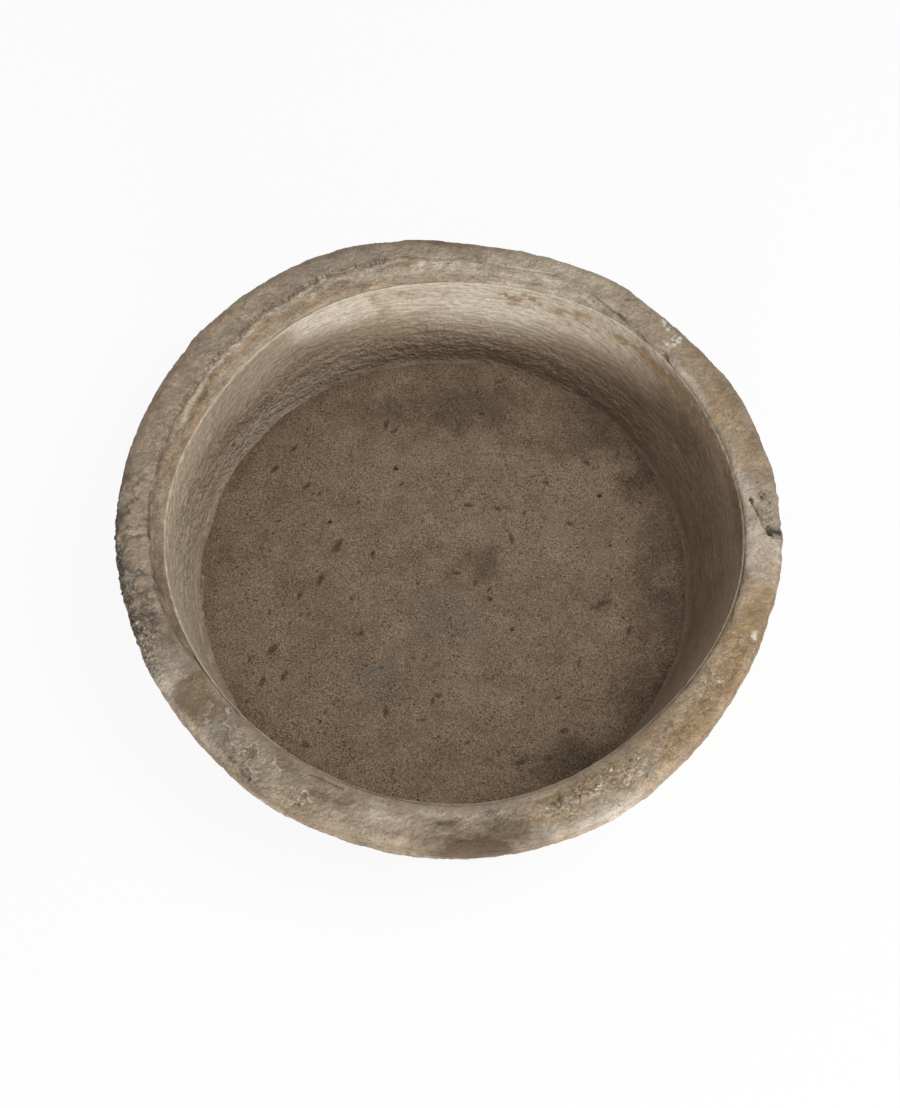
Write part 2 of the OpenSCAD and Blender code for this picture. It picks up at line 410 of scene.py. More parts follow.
OCHRE_MARKS = [
    (330, 14, 26, 20, 1.1), (140, 49, 40, 10, 0.25), (303, 24, 12, 14, 0.6), (308, 8, 10, 8, 0.4),
    (345, 7, 8, 8, 0.6), (13, 16, 6, 14, 0.5), (24, 20, 9, 13, 0.55), (22, 32, 3, 4, 0.9),
    (34, 14, 6, 9, 0.35), (104, 47, 10, 3, 0.4), (127, 46, 9, 3, 0.3), (119, 51, 7, 4, 0.35),
    (149, 45, 10, 3, 0.4), (158, 46, 8, 2.5, 0.35), (97, 26, 3, 4, 0.45), (131, 14, 3, 5, 0.5),
    (154, 10, 2.5, 6, 0.4), (187, 16, 2.5, 6, 0.5), (305, 26, 4, 6, 0.7), (291, 37, 7, 5, 0.6),
    (298, 34, 6, 5, 0.8), (313, 12, 7, 9, 0.7), (320, 14, 7, 9, 0.7), (330, 12, 9, 9, 0.8),
    (338, 12, 5, 9, 0.9), (341, 24, 5, 6, 0.7), (325, 24, 14, 8, 0.5), (336, 32, 6, 6, 0.6),
    (348, 30, 6, 8, 0.4), (243, 14, 3.5, 3, 0.8), (240, 17, 3, 4, 0.5), (211, 17, 1.4, 4, 0.6),
    (286, 20, 8, 10, 0.35), (222, 12, 1.2, 5, 0.25), (313, 34, 8, 5, 0.5), (283, 12, 2, 6, 0.4),
    (300, 12, 4, 3, 0.5)]
ASH_MARKS = [
    (172, 7, 3, 9, 0.5), (178.5, 6, 4, 7, 0.6), (183, 2, 16, 4, 0.9), (188.5, 8, 3, 8, 0.5),
    (200, 4, 10, 6, 1.0), (196.5, 15, 2.6, 9, 0.75), (201, 15, 5, 11, 0.8), (204, 28, 5, 5, 0.35),
    (194, 31, 8, 2.5, 0.5), (181, 31, 10, 2, 0.35), (230.6, 8.5, 1.1, 2.4, 1.0), (234.4, 8, 2.4, 2.0, 0.8),
    (248, 27, 5, 3, 0.35), (279, 20, 6, 10, 0.5), (283, 4, 5, 7, 0.5), (270.5, 27, 1.6, 3.2, 0.95),
    (272, 31, 1.2, 1.6, 0.7), (278, 34, 1.8, 2.6, 0.5), (284, 33, 3, 3, 0.5), (290, 32, 2, 2.6, 0.6),
    (315.6, 28, 2.4, 2.6, 0.7), (50, 31.5, 5, 2.6, 0.55), (51, 9, 1.2, 2, 0.9), (83, 17.5, 1.0, 1.6, 0.9),
    (97, 18, 3, 5, 0.35), (92, 6, 9, 6, 0.35), (110, 8, 12, 7, 0.3), (71, 20, 6, 3, 0.3),
    (161, 24, 1.5, 3, 0.4)]
# A dark patch on the front shoulder and the outer wall below it: partly a stain, partly painted shade
SMOKE_AND_SHADE_MARKS = [(273.8, 0, 8, 18, 1.9), (281, 9, 6, 12, 0.9), (268, 10, 3, 8, 0.4)]
SLATE_MARKS = [
    (209, 22, 4, 14, 0.5), (107, 14, 7, 8, 0.5), (115, 17, 6, 6, 0.6), (88, 17, 8, 4, 0.35),
    (122, 26, 8, 6, 0.35), (104, 26, 6, 7, 0.35), (134, 24, 8, 8, 0.25), (210, 20, 3, 12, 0.7),
    (226.4, 16, 3.2, 9, 1.0), (232, 12, 5, 6, 0.4), (278, 33, 2, 3, 0.6), (282.4, 33, 1, 2, 0.7),
    (190, 12, 8, 8, 0.45), (176, 14, 6, 8, 0.3), (201, 22, 5, 8, 0.45), (60, 30, 5, 3, 0.3)]
UMBER_MARKS = [
    (127, 46, 26, 4, 0.35), (149, 45, 10, 3.5, 0.55), (235, 27, 14, 14, 0.9), (228, 25, 14, 11, 0.6),
    (243, 22, 10, 12, 0.75), (253, 30, 10, 12, 0.9), (241, 35, 14, 7, 0.7), (335, 8, 14, 9, 0.4),
    (240, 7, 12, 9, 0.9), (207, 24, 7, 10, 0.8), (345, 8, 7, 8, 0.8), (314, 10, 6, 8, 0.4),
    (322, 36, 26, 6, 0.45), (298, 38, 18, 7, 0.65), (234, 8, 10, 8, 0.35), (240, 36, 16, 4, 0.35),
    (270, 24, 6, 6, 0.35), (218.5, 24, 4.6, 15, 0.9), (232, 24, 2.5, 5, 0.6), (239, 28, 7, 9, 0.9),
    (246, 24, 2, 7, 0.5), (250, 29, 5, 5, 0.45), (265, 14, 4, 10, 0.45), (282, 24, 5, 8, 0.4),
    (205, 36, 12, 4, 0.4), (191, 37, 12, 3, 0.5), (88, 6, 13, 10, 0.7), (253, 8, 6, 8, 0.4),
    (228, 38, 8, 6, 0.6), (152, 9, 14, 8, 0.3), (140, 10, 8, 7, 0.3), (303, 31, 6, 7, 0.75),
    (295, 35, 4, 4, 0.5), (311, 33, 5, 4, 0.5), (335, 27, 3, 7, 0.5), (160, 43, 12, 3, 0.3),
    (326, 35, 16, 4, 0.45), (18, 9, 5, 6, 0.35), (30, 24, 6, 8, 0.3), (31, 8, 13, 9, 0.75),
    (180, 24, 11, 8, 0.5), (82, 24, 6, 6, 0.4), (242, 26, 9, 9, 0.9), (105, 7, 10, 8, 0.35),
    (95, 7, 8, 8, 0.5), (156, 53, 7, 5, 0.6), (165, 40, 7, 6, 0.6)]
print(sum(map(len, (CREAM_MARKS, OCHRE_MARKS, ASH_MARKS, SMOKE_AND_SHADE_MARKS, SLATE_MARKS, UMBER_MARKS))), "stains")

# %% [markdown]
# Next the marks that have a form: lobes of smeared mortar, cracks as lines through a few stops, bites in
# the outer edge, the sharp edge of the chip, and pale stones that show in the mortar.

# %% Lobes, cracks, bites and stones
LOBES = [
    (173.4, 25, 2.2, 9), (177.0, 22, 1.7, 12), (179.6, 20, 1.2, 13), (181.6, 22, 1.1, 11),
    (187.2, 20, 4.2, 15), (184.4, 26, 1.6, 8), (192.9, 23, 1.5, 10), (195.4, 26, 1.0, 7), (180, 8, 1.2, 3),
    (196.8, 31, 1.2, 3), (131, 18, 1.4, 9), (135, 22, 2.6, 13), (143, 26, 2.2, 9), (146.2, 24, 1.5, 10),
    (154, 19, 3.0, 10), (161, 26, 2.6, 8), (167.6, 21, 2.8, 13), (127, 14, 2.0, 8), (149, 13, 2.2, 8),
    (139, 13, 2.4, 7), (122, 24, 1.8, 8)]
INNER_CRACK = [
    (160, 35.5), (165, 34), (172, 32.5), (180, 31.5), (186, 32.5), (192, 32.5), (198, 30.5), (204, 31)]
SECOND_CRACK = [(186, 35), (192, 35.5), (199, 34.5), (206, 35.5), (212, 37)]
RIGHT_CRACK = [(-22, 31), (-12, 32.5), (-5, 34), (0, 35), (8, 36.5), (15, 38), (22, 38.5)]
RISING_CREASE = TURN_IN_STOPS[:8]
LIVELY_MARKS = [
    (201, 9, 11, 13, 1.0), (185, 2, 16, 4, 0.8), (297, 29, 13, 14, 1.0), (322, 18, 22, 22, 0.5),
    (236, 20, 15, 20, 0.6), (14, 14, 22, 16, 0.3), (0, 12, 5, 12, 0.6), (276, 28, 10, 8, 0.5)]
FRONT_FLAP = [(244, 36), (247, 38), (249, 39), (251, 37.5)]
LEFT_STEP = [(213.4, 8), (213.2, 20), (213.6, 34)]
EDGE_BITES = [
    (0, 45, -0.8), (10, 5, -1.4), (26, 10, -2.3), (41, 10, 1.4), (56, 10, -2.9), (82, 10, 1.9),
    (100, 5, 1.6), (115, 5, -1.1), (128, 14, 0.9), (139, 5, -1.8), (147, 5, 0.9), (169, 45, 1.1),
    (185, 5, -0.7), (195, 5, 1.2), (210, 10, -1.0), (228, 10, 1.4), (247, 45, 1.0), (249, 7, -0.9),
    (255, 5, 0.9), (262, 7, 1.8), (297, 10, -1.6), (310, 7, 1.4), (327, 14, -1.7), (356, 5, -0.9)]
CHIP_EDGE = [(-3.9, -3), (-4.1, 6), (-3.7, 13), (-2.0, 18), (0, 21.5), (2, 26), (3.2, 28.5)]
STONES = [
    (300.6, 34, 1.6), (302.9, 22.7, 1.3), (304.7, 19, 1.0), (306.4, 31, 1.3), (337.2, 7, 3.2),
    (305.5, 26, 0.9), (297, 27, 1.0), (326, 17, 1.2), (288, 28, 1.0)]
print(len(LOBES), "smeared lobes", len(STONES), "pale stones")


# %% [markdown]
# Every mark below asks the same things of a point: its angle and way inward, both made to wander a
# little so that no outline is a clean oval, and two noises, one as large as a hand and one like crumbs.
# Stains on stone have no hard edge. They lie thick in one pore and thin on the next, so each stain is
# its soft oval times a noise of many sizes: the cover stays mottled down to a mm.

# %% What the marks share, and the stains
STAINS = (("cream", CREAM_MARKS, 0.5), ("ochre", OCHRE_MARKS, 0.4), ("ash", ASH_MARKS, 0.8),
          ("slate", SLATE_MARKS, 0.6), ("umber", UMBER_MARKS, 0.5))


def outside_place(degrees, inward, at):
    """What the marks need to know of points on the outside."""
    p = SimpleNamespace(at=at, inward=inward, degrees=degrees + 0 * inward)
    p.past_edge = inward - (ring_at(outer_rings[-1], degrees) - skin_end(degrees))
    p.warp, p.warp_two = rough(at, 22, 3, shift=1), rough(at, 22, 3, shift=5)
    p.a, p.u = p.degrees + p.warp * 0.6, inward + p.warp_two * 2.2
    p.cloud = rough(at, 20, 5, shift=9, fade=0.85)
    p.crumb = rough(at, 5.5, 3, shift=14, fade=0.85)
    p.bevel = ease(p.past_edge, 0.5, 2.5)
    return p


def rim_stains(p):
    """Masks of the stains that lie on the rim and the bevel, the dark front one partly painted shade."""
    stains = {"smoke": ovals(p.a, p.u, SMOKE_AND_SHADE_MARKS, 0.1, 1.5) * (1 + 0.15 * p.cloud)}
    for number, (name, marks, mottling) in enumerate(STAINS, 1):
        own = 0.4 * p.cloud * (-1) ** number + 0.8 * rough(p.at, 19, 4, shift=16 + 4 * number, fade=0.65)
        own = own * (1 - 0.55 * p.bevel)
        stains[name] = np.clip(ovals(p.a, p.u, marks, 0.1, 1.45) * (1.0 + mottling * 1.3 * own), 0, 1)
    return stains


# %% [markdown]
# Rain stains the outer wall from above, lime blooms on it, and soil splashes up from below. On the front
# left, thin crust has lifted: its lacy edges run along the level lines of slow noise, as tide marks do. The
# pale lace is partly a painted highlight on the lifted edge, and below it lies painted shade.

# %% Stains of the outer wall, and lifted crust
TIDE_MARKS = [
    (233, 22, 12, 17, 1.0), (224, 30, 5, 9, 0.9), (243, 20, 4, 12, 0.9), (302, 20, 12, 15, 0.75),
    (330, 18, 12, 16, 0.45)]
BARE_FROM, BARE_TO = 213.6, 223.2


def add_wall_stains(p, stains):
    """Lays dark runs, lime bloom and soil into the stains, and a flat brown patch between two angles."""
    turned, below = np.radians(p.degrees), -p.inward
    down_way = np.stack([300 * np.cos(turned), 300 * np.sin(turned), 0.12 * p.at[..., 2]], -1)
    runs = ease(rough(down_way, 17, 4, shift=180, fade=0.8), 0.0, 1.2) * ease(below, -1, 8)
    stains["ash"] = np.maximum(stains["ash"], 0.75 * runs * (1 - ease(below, 30, 115)))
    bloom = ease(rough(p.at, 55, 5, shift=184, fade=0.75), 0.2, 1.1) * ease(below, 10, 30)
    stains["cream"] = np.maximum(stains["cream"], 0.5 * bloom)
    soil = 0.9 * ease(below + 12 * p.warp + 8 * p.cloud, 92, 142)
    left = turn_from(p.degrees, BARE_FROM) * ARC_MM
    right = turn_from(p.degrees + 0.9 * p.warp, BARE_TO) * ARC_MM
    bare = ease(left, -0.6, 0.6) * (1 - ease(right, -1.2, 1.2)) * ease(p.u, 6, 9) * (1 - ease(p.u, 36, 40))
    umber = np.maximum(stains["umber"], soil) * (1 - ovals(p.a, p.u, SLATE_MARKS[:1]))
    stains["umber"] = np.maximum(umber, 0.95 * bare)


def tide_lines(p):
    """Pale lace that is partly a painted highlight, the lifted crust beside it and the painted shade below
    it.
    """
    zone = ovals(p.a, p.u, TIDE_MARKS, 0.6, 1.2)
    tide = rough(p.at, 21, 3, shift=121, fade=0.55)
    lace = np.exp(-((tide - 0.10) / 0.08) ** 2) * zone
    shade = np.exp(-((tide + 0.05) / 0.06) ** 2) * zone
    return lace, ease(tide, 0.02, 0.12) * zone, shade


# %% [markdown]
# A hand pressed the mortar on in smears that overlap like shingles, so each smear is a lobe with a soft
# round end and a furrow outside it, which holds ash crust and painted shade, darkest at the outer end. On the
# right a piece broke off: the chip has one sharp edge, which is a line, and bare pitted stone behind it.

# %% Smeared lobes, and the chip on the right
SMEARED = [(184, 0, 15, 1, 1.0), (148, 0, 28, 1, 0.45)]
CHIP_MARKS = [(0.6, 11, 5.4, 14, 1.0), (2.2, 22, 1.6, 6, 1.0)]
CHIP_PITS = [
    (-2.9, 12, 1.1, 4, 1), (3.2, 27, 1.2, 2.4, 1), (-2.8, 4, 0.8, 5, 0.9), (4.4, 16, 1.1, 3, 0.8),
    (0.8, 23, 1.4, 1.4, 0.5)]


def smears(p):
    """Lobes of smeared mortar, and the furrows between them, darkened with ash crust and painted shade."""
    lobe, furrow = np.zeros_like(p.warp), np.zeros_like(p.warp)
    for angle, middle, half_turn, half_way in LOBES:
        reach = np.hypot(turn_from(p.a, angle) / half_turn, (p.u - middle) / half_way)
        reach = reach + 0.08 * p.crumb + 0.20 * p.cloud
        lobe = np.maximum(lobe, 1 - ease(reach, 0.86, 1.02))
        furrow = np.maximum(furrow, np.exp(-((reach - 1.08) / 0.11) ** 2) * (0.45 + 0.55 * (p.u < middle)))
    plain = ovals(p.degrees, 0 * p.inward, SMEARED, 0.7, 1.2) * ease(p.inward, 2, 8)
    return lobe * plain, furrow * (1 - lobe) * plain


def chip_marks(p):
    """The chip, the pits in it and the crack along its edge."""
    zone = ovals(p.degrees + 0.3 * p.warp, p.inward + p.warp_two, CHIP_MARKS, 0.55, 1.25)
    edge = line_distance(p.degrees + 0.25 * p.warp, p.inward + 0.8 * p.warp_two, CHIP_EDGE)
    turns, ways = np.array(CHIP_EDGE).T
    behind = turn_from(p.degrees, turns.min()) > np.interp(p.inward, ways, turns - turns.min())
    pits = ovals(p.degrees, p.inward, CHIP_PITS, 0.2, 1.5)
    pits = np.clip(pits * (1.0 + 1.1 * p.crumb + 0.5 * p.cloud), 0, 1)
    crack = 0.6 * np.exp(-(edge / 0.6) ** 2) * (zone > 0.05) * ease(p.inward, -3, 3)
    return ease(zone, 0.25, 0.5) * behind, pits * behind, crack


# %% [markdown]
# Where the crust is thin it is eaten by pits of a mm or two. They are spots strewn in space, and more of
# them open where a pit mark lies. Thick black crust sits on the left, and flakes stand up in front.

# %% Pits, crust and flakes
PIT_MARKS = [
    (201, 8, 10, 9, 1.0), (199, 16, 6, 12, 0.8), (297, 32, 12, 9, 0.9), (306, 22, 6, 14, 0.6),
    (271, 27, 5, 3, 0.8), (283, 33, 6, 4, 0.7), (14, 12, 12, 12, 0.5), (316, 28, 3, 4, 0.7),
    (186, 3, 14, 4, 0.6), (324, 16, 12, 14, 0.4), (34, 10, 9, 9, 0.5)]
CRUST_MARKS = [(200, 5, 11, 9, 1.0), (186, 1, 18, 5, 0.9), (201, 16, 5, 10, 0.7), (172, 3, 8, 6, 0.4)]
FLAKY_MARKS = [
    (296, 27, 13, 14, 1.0), (312, 18, 9, 13, 0.6), (326, 16, 12, 13, 0.6), (46, 9, 10, 8, 0.5),
    (12, 12, 10, 10, 0.35)]


def pits_and_crust(p):
    """Pits, the height of black crust and where it lies, the height of flakes and where they stand."""
    away, luck = nearest_spot(p.at + 0.6 * np.stack([p.crumb, p.cloud, p.warp], -1), 4.0)
    zone = 0.22 + ovals(p.a, p.u, PIT_MARKS) + 0.35 * ease(-p.inward, 8, 20)
    pits = ease(1.6 * luck - away / 1.1, 0.25, 1.0) * np.clip(zone + 0.25 * p.cloud - 0.2, 0, 1)
    crusty = ovals(p.a, p.u, CRUST_MARKS, 0.5, 1.25)
    crust = np.abs(rough(p.at, 7, 3, shift=131, fade=0.8)) * crusty
    flaky = ovals(p.a, p.u, FLAKY_MARKS, 0.5, 1.3)
    flakes = (1 - 2 * np.abs(rough(p.at, 13, 4, shift=134, fade=0.75))) * flaky
    return pits, crust, crusty, flakes, flaky


# %% [markdown]
# Cracks are lines through a few stops, made to wander and to fade in places. The finest ones, between
# flakes, are where a noise passes through zero. Pale stones and lime splashes lie on top of all.

# %% Cracks and pale stones
CRACKS = ((INNER_CRACK, 0.6, 0.5), (SECOND_CRACK, 0.6, 0.45), (RIGHT_CRACK, 0.6, 0.8),
          (RISING_CREASE, 0.65, 0.6), (FRONT_FLAP, 0.8, 0.8), (LEFT_STEP, 0.8, 0.35))
SPLASHES = [(39.6, 14, 1.2, 8, 1.3), (40.6, 22, 0.9, 3, 1.1), (43.2, 10, 1.9, 3.6, 1.3),
    (41, -2, 2.4, 4, 0.9)]


def crack_marks(p, flaky):
    """How far a point is inside a crack. Each crack has its stops, half width in mm and strength."""
    split = rough(p.at, 11, 2, shift=135, fade=0.5)
    cracks = 0.9 * np.exp(-(split / 0.13) ** 2) * flaky * ease(p.cloud, -0.2, 0.3)
    wander, wander_two = rough(p.at, 9, 3, shift=137), rough(p.at, 9, 3, shift=138)
    for stops, half, strength in CRACKS:
        away = line_distance(p.degrees + 0.10 * wander, p.inward + 0.8 * wander_two, stops)
        cracks = np.maximum(cracks, strength * np.exp(-(away / half) ** 2) * ease(p.cloud, -1.1, 0.3))
    return cracks


def pale_stones(p):
    """Pale stones in the mortar, and lime splashes."""
    stone = np.zeros_like(p.warp)
    for angle, middle, half in STONES:
        reach = np.hypot(turn_from(p.a, angle) * ARC_MM, p.u - middle) / half + 0.12 * p.crumb
        stone = np.maximum(stone, 1 - ease(reach, 0.6, 1.15))
    splashes = ovals(p.a, p.u, SPLASHES, 0.4, 1.3) * (0.8 + 1.3 * rough(p.at, 4, 2, shift=140))
    return np.maximum(stone, np.clip(splashes, 0, 1))


# %% [markdown]
# The skin's inner edge was dragged off in short teeth, with painted shade between them and pale dust below.
# The teeth are a wave along the edge whose beat wanders, since an even one looks printed. Noise that is
# stretched inward makes the drag marks of the hand, and bites give the outer edge its uneven line.

# %% Ragged edge, drag marks and bites
TOOTHED = [(122, 0, 36, 5, 1.0), (88, 0, 14, 5, 0.6)]
DRAGGED = [(132, 24, 48, 13, 1.0), (200, 22, 14, 10, 0.7)]


def ragged_edge(p):
    """Painted shade in the gaps between the teeth, and the dust below them."""
    sway = rough(np.stack([p.degrees * 0.3, 0 * p.u, 0 * p.u], -1), 1.0, 3, shift=146, fade=0.9)
    comb = np.cos(2 * np.pi * (p.degrees * 1.05 + 1.5 * sway + 0.03 * p.inward))
    toothed = ovals(p.degrees, 0 * p.inward, TOOTHED, 0.6, 1.2)
    tooth = 3.4 + 1.5 * sway + 0.8 * p.crumb
    gaps = toothed * ease(p.past_edge, -tooth, 2.0 - tooth) * (1 - ease(p.past_edge, 0.2, 1.6))
    gaps = np.clip(gaps * ease(comb, -0.3, 0.6) * (0.8 + 0.5 * p.cloud), 0, 1)
    dust = toothed * np.exp(-((p.past_edge - 3.2 - 1.2 * p.warp) / 2.0) ** 2)
    return gaps, dust * np.clip(0.8 + 0.5 * p.cloud, 0, 1)


def drag_marks(p):
    """Marks drawn inward over the rim, and marks drawn round on the bevel."""
    inward_way = np.stack([p.a * 1.15, p.u * 0.14, 0 * p.u], -1)
    round_way = np.stack([p.a * 0.09, p.u * 0.22, 0 * p.u], -1)
    return (rough(inward_way, 1.0, 3, shift=150) * ovals(p.a, p.u, DRAGGED),
            rough(round_way, 1.0, 2, shift=154, fade=0.7) * p.bevel)


def edge_bites(p):
    """How deep in mm the outer edge falls back. Each bite has its angle, half width and depth."""
    bites = np.zeros_like(p.warp)
    for angle, half_turn, depth in EDGE_BITES:
        bites = bites + depth * (1 - ease(np.abs(turn_from(p.degrees + 0.8 * p.warp_two, angle)) / half_turn))
    return bites * ease(p.inward, -44, -16) * (1 - ease(p.inward, 4, 12))


# %% Relief and masks of the outside
def outside(degrees, inward, at):
    """Relief in mm and masks for points on the rim, the bevel and the outer wall."""
    p = outside_place(degrees, inward, at)
    stains = rim_stains(p)
    add_wall_stains(p, stains)
    lace, lifted, shade = tide_lines(p)
    lobe, furrow = smears(p)
    chip, chip_pits, chip_crack = chip_marks(p)
    pits, crust, crusty, flakes, flaky = pits_and_crust(p)
    cracks = np.maximum(crack_marks(p, flaky), chip_crack)
    stone = pale_stones(p)
    gaps, dust = ragged_edge(p)
    drag, drawn = drag_marks(p)

    relief = 0.75 * rough(at, 75, 3, shift=160) + 0.42 * rough(at, 16, 3, shift=163, fade=0.7)
    relief = relief + 0.24 * p.cloud + 0.19 * p.crumb - 0.5 * gaps + 0.7 * lobe - 0.4 * furrow + 0.20 * drag
    relief = relief + 0.5 * lifted + 0.35 * lace - 0.2 * shade + 0.4 * flakes
    relief = relief + 0.30 * drawn - edge_bites(p)
    relief = relief + ease(-inward, 2, 18) * (0.9 * rough(at, 38, 4, shift=80, fade=0.65) - 0.5)
    relief = relief - (1.4 - 0.35 * p.crumb) * chip - 1.3 * chip_pits - 0.8 * pits
    relief = relief + 1.1 * (crust - 0.4 * crusty) - 0.8 * cracks + 0.4 * stone

    dark = 0.8 * pits + 0.85 * cracks + chip_pits + 0.55 * crusty * ease(-p.crumb - 0.2 * p.cloud, 0.1, 0.8)
    masks = {**stains, "lace": lace, "lifted": lifted, "lobe": lobe, "furrow": furrow, "chip": chip,
             "gaps": gaps, "crust": crusty, "bevel": p.bevel, "streak": 0.5 + 0.25 * (drag + drawn)}
    masks["cream"] = np.maximum(stains["cream"], 0.8 * dust) * (1 - chip)
    masks["ochre"] = stains["ochre"] * (1 - 0.6 * chip)
    masks["dark"] = np.clip(dark + 0.35 * shade, 0, 1)
    masks["pale_stone"] = np.clip(stone + 0.5 * crusty * ease(p.crumb, 0.7, 1.3), 0, 1)
    masks["lively"] = np.clip(ovals(p.a, p.u, LIVELY_MARKS) + ease(-inward, 0, 8), 0, 1)
    return relief, masks


# %% [markdown]
# ## Skin on the rim
# Mortar smeared over the top of the wall by hand: a worn shoulder outside and a nearly level top. At
# the back it ends short of the bead in a ragged edge of teeth, where the mortar was dragged off. In
# front it was drawn on over the bevel and rolled down to the bead. A lathed ring would be too even, so
# each section of the ring gets its own width, and the teeth come from noise along the edge.

# %% What skin, wall and slab share
angles = turn_angles(TURNS)
rim_edge = ring_at(outer_rings[-1], angles)
low_turn = math.degrees(math.asin((cap_low - shoulder_foot) / SHOULDER_HEIGHT))
print(TURNS, "angles, and the seam lies", round(low_turn, 1), "degrees up the shoulder")


def shoulder_arc(turned):
    """Radii and heights in mm on the rim's shoulder, turned from 0 at its foot to 90 at its top."""
    turned = np.radians(turned)[None, :]
    return (rim_edge - SHOULDER_WIDTH * (1 - np.cos(turned)),
            shoulder_foot + SHOULDER_HEIGHT * np.sin(turned) + 0 * rim_edge)


# %% Rim skin
ROLL_WIDTH = 9.0
inner_edge = skin_end(angles)
end_height = skin_end_height(angles)
shoulder_radii, shoulder_heights = shoulder_arc(np.linspace(low_turn, 90, 9))
shares = np.linspace(0, 1, 41)[None, 1:]
flat_start = rim_edge - SHOULDER_WIDTH
flat_radii = flat_start + (inner_edge + 0.5 - flat_start) * shares
from_end = np.clip((flat_radii - inner_edge) / ROLL_WIDTH, 0, 1)
flat_heights = end_height + (rim_high - end_height) * np.sqrt(1 - (1 - from_end) ** 2)
edge_outs, edge_drops = np.array([[0.1, 0.0, 0.1, 0.4]]), np.array([[0.3, 0.8, 1.6, 2.4]])
edge_radii, edge_heights = inner_edge + edge_outs, end_height - edge_drops
under_shares = np.linspace(0, 1, 5)[None, 1:-1]
under_radii = edge_radii[:, -1:] + (shoulder_radii[:, :1] - edge_radii[:, -1:]) * under_shares
under_heights = edge_heights[:, -1:] + (cap_low - edge_heights[:, -1:]) * under_shares
skin_radii = np.hstack([shoulder_radii, flat_radii, edge_radii, under_radii])
skin_heights = np.hstack([shoulder_heights, flat_heights, edge_heights, under_heights])
skin_at = ring_points(angles, skin_radii, skin_heights)
skin_inward = rim_edge - skin_radii
print("skin grid", skin_radii.shape)

# %% Relief of the rim skin
seen_rows = shoulder_radii.shape[1] + shares.size
# Full relief where the skin shows, half where it turns under, and none below
free = np.zeros((1, skin_radii.shape[1]))
free[0, :seen_rows + 1] = 1.0
free[0, seen_rows + 1:seen_rows + 3] = 0.5
skin_relief, skin_masks = outside(angles, skin_inward, skin_at)
calm_end = 1 - 0.7 * rolled_over(angles) * (1 - ease(skin_radii - inner_edge, 0.5, 6.0))
rim_skin = ring_piece("rim_skin", angles, skin_at, skin_relief * free * calm_end, skin_masks,
                      "rim_cap", [(0, low_turn)])

# %% [markdown]
# ## Stone wall
# The cast wall below the skin: a rough outer face that narrows towards the foot, and a bevel inside the
# skin, which falls to the bead. The same relief function runs on over the edge of the skin.

# %% Outer face of the wall
side_heights = np.linspace(slab_top, shoulder_foot, 34)
side_radii = rings_at(outer_rings, outer_heights, side_heights, angles)
turn_radii, turn_heights = shoulder_arc(np.linspace(0, low_turn, 5)[1:])
print("outer face", side_radii.shape[1] + turn_radii.shape[1], "rows")

# %% [markdown]
# The bevel starts a step below the skin's edge, a lower step where the skin was drawn thin, and it sinks
# out of sight where the skin rolls over to the bead. The back of the wall lies behind the coat.

# %% Bevel and back of the wall
SKIN_STEP = 1.3
THINNER_BY = 0.9
ROLLED_SINK = 2.0
BEVEL_ROWS = 16
wall_face = ring_at(hollow_rings[-1], angles)
wall_foot = ring_at(foot_ring, angles)
wall_rolled = rolled_over(angles)
turned_in = ease(angles, 36.0, 42.0) * (1 - ease(angles, 74.0, 84.0))
thin_end = np.maximum(turned_in, 1 - ease(np.abs(turn_from(angles, 206)), 6, 16))
step_height = end_height - SKIN_STEP + THINNER_BY * thin_end - ROLLED_SINK * wall_rolled
covered_radii = np.hstack([inner_edge + 7.0, inner_edge + 3.6])
covered_heights = np.hstack([np.minimum(cap_low, step_height - 0.6), step_height - 0.3])
bevel_shares = np.linspace(0, 1, BEVEL_ROWS)[None, :]
bevel_start = inner_edge + 2.0
bevel_radii = bevel_start + (wall_face + 0.55 * THIN_BEAD - bevel_start) * bevel_shares
bevel_end = wall_foot + 1.8 - 3.4 * wall_rolled
bevel_heights = step_height - (step_height - bevel_end) * bevel_shares ** 1.25
back_shares = np.array([[0.97, 0.6, 0.3, 0.02, 0.0]])
back_radii = rings_at(hollow_rings, hollow_shares, back_shares[0], angles) + COAT_THICKNESS
back_heights = bed_top + (wall_foot - bed_top) * back_shares
back_heights[:, -1] = slab_top
print("bevel from", step_height.max().round(1), "to", bevel_end.min().round(1), "mm")

# %% Wall body from its rows
FOOT_LEAN = -12.0
HIDDEN_INWARD = 60.0
wall_radii = np.hstack([side_radii, turn_radii, covered_radii, bevel_radii, back_radii])
wall_heights = np.hstack([side_heights[None] + 0 * rim_edge, turn_heights, covered_heights, bevel_heights,
                          back_heights])
wall_at = ring_points(angles, wall_radii, wall_heights)
wall_inward = np.where(wall_heights < shoulder_foot, wall_heights - shoulder_foot, rim_edge - wall_radii)
wall_inward[:, -5:] = HIDDEN_INWARD
top_row = len(side_heights) + 3
# The relief fades out towards the bead, and the rows that are covered have none
wall_free = np.ones((1, wall_radii.shape[1]))
wall_free[0, top_row + 1:top_row + 3] = 0.0
wall_free[0, -10:-6] = 0.85, 0.6, 0.35, 0.15
wall_free[0, -6:] = 0.0
wall_relief, wall_masks = outside(angles, wall_inward, wall_at)
wall_body = ring_piece("wall_body", angles, wall_at, wall_relief * wall_free, wall_masks, "wall_shell",
                       [(0, FOOT_LEAN), (top_row, low_turn)])
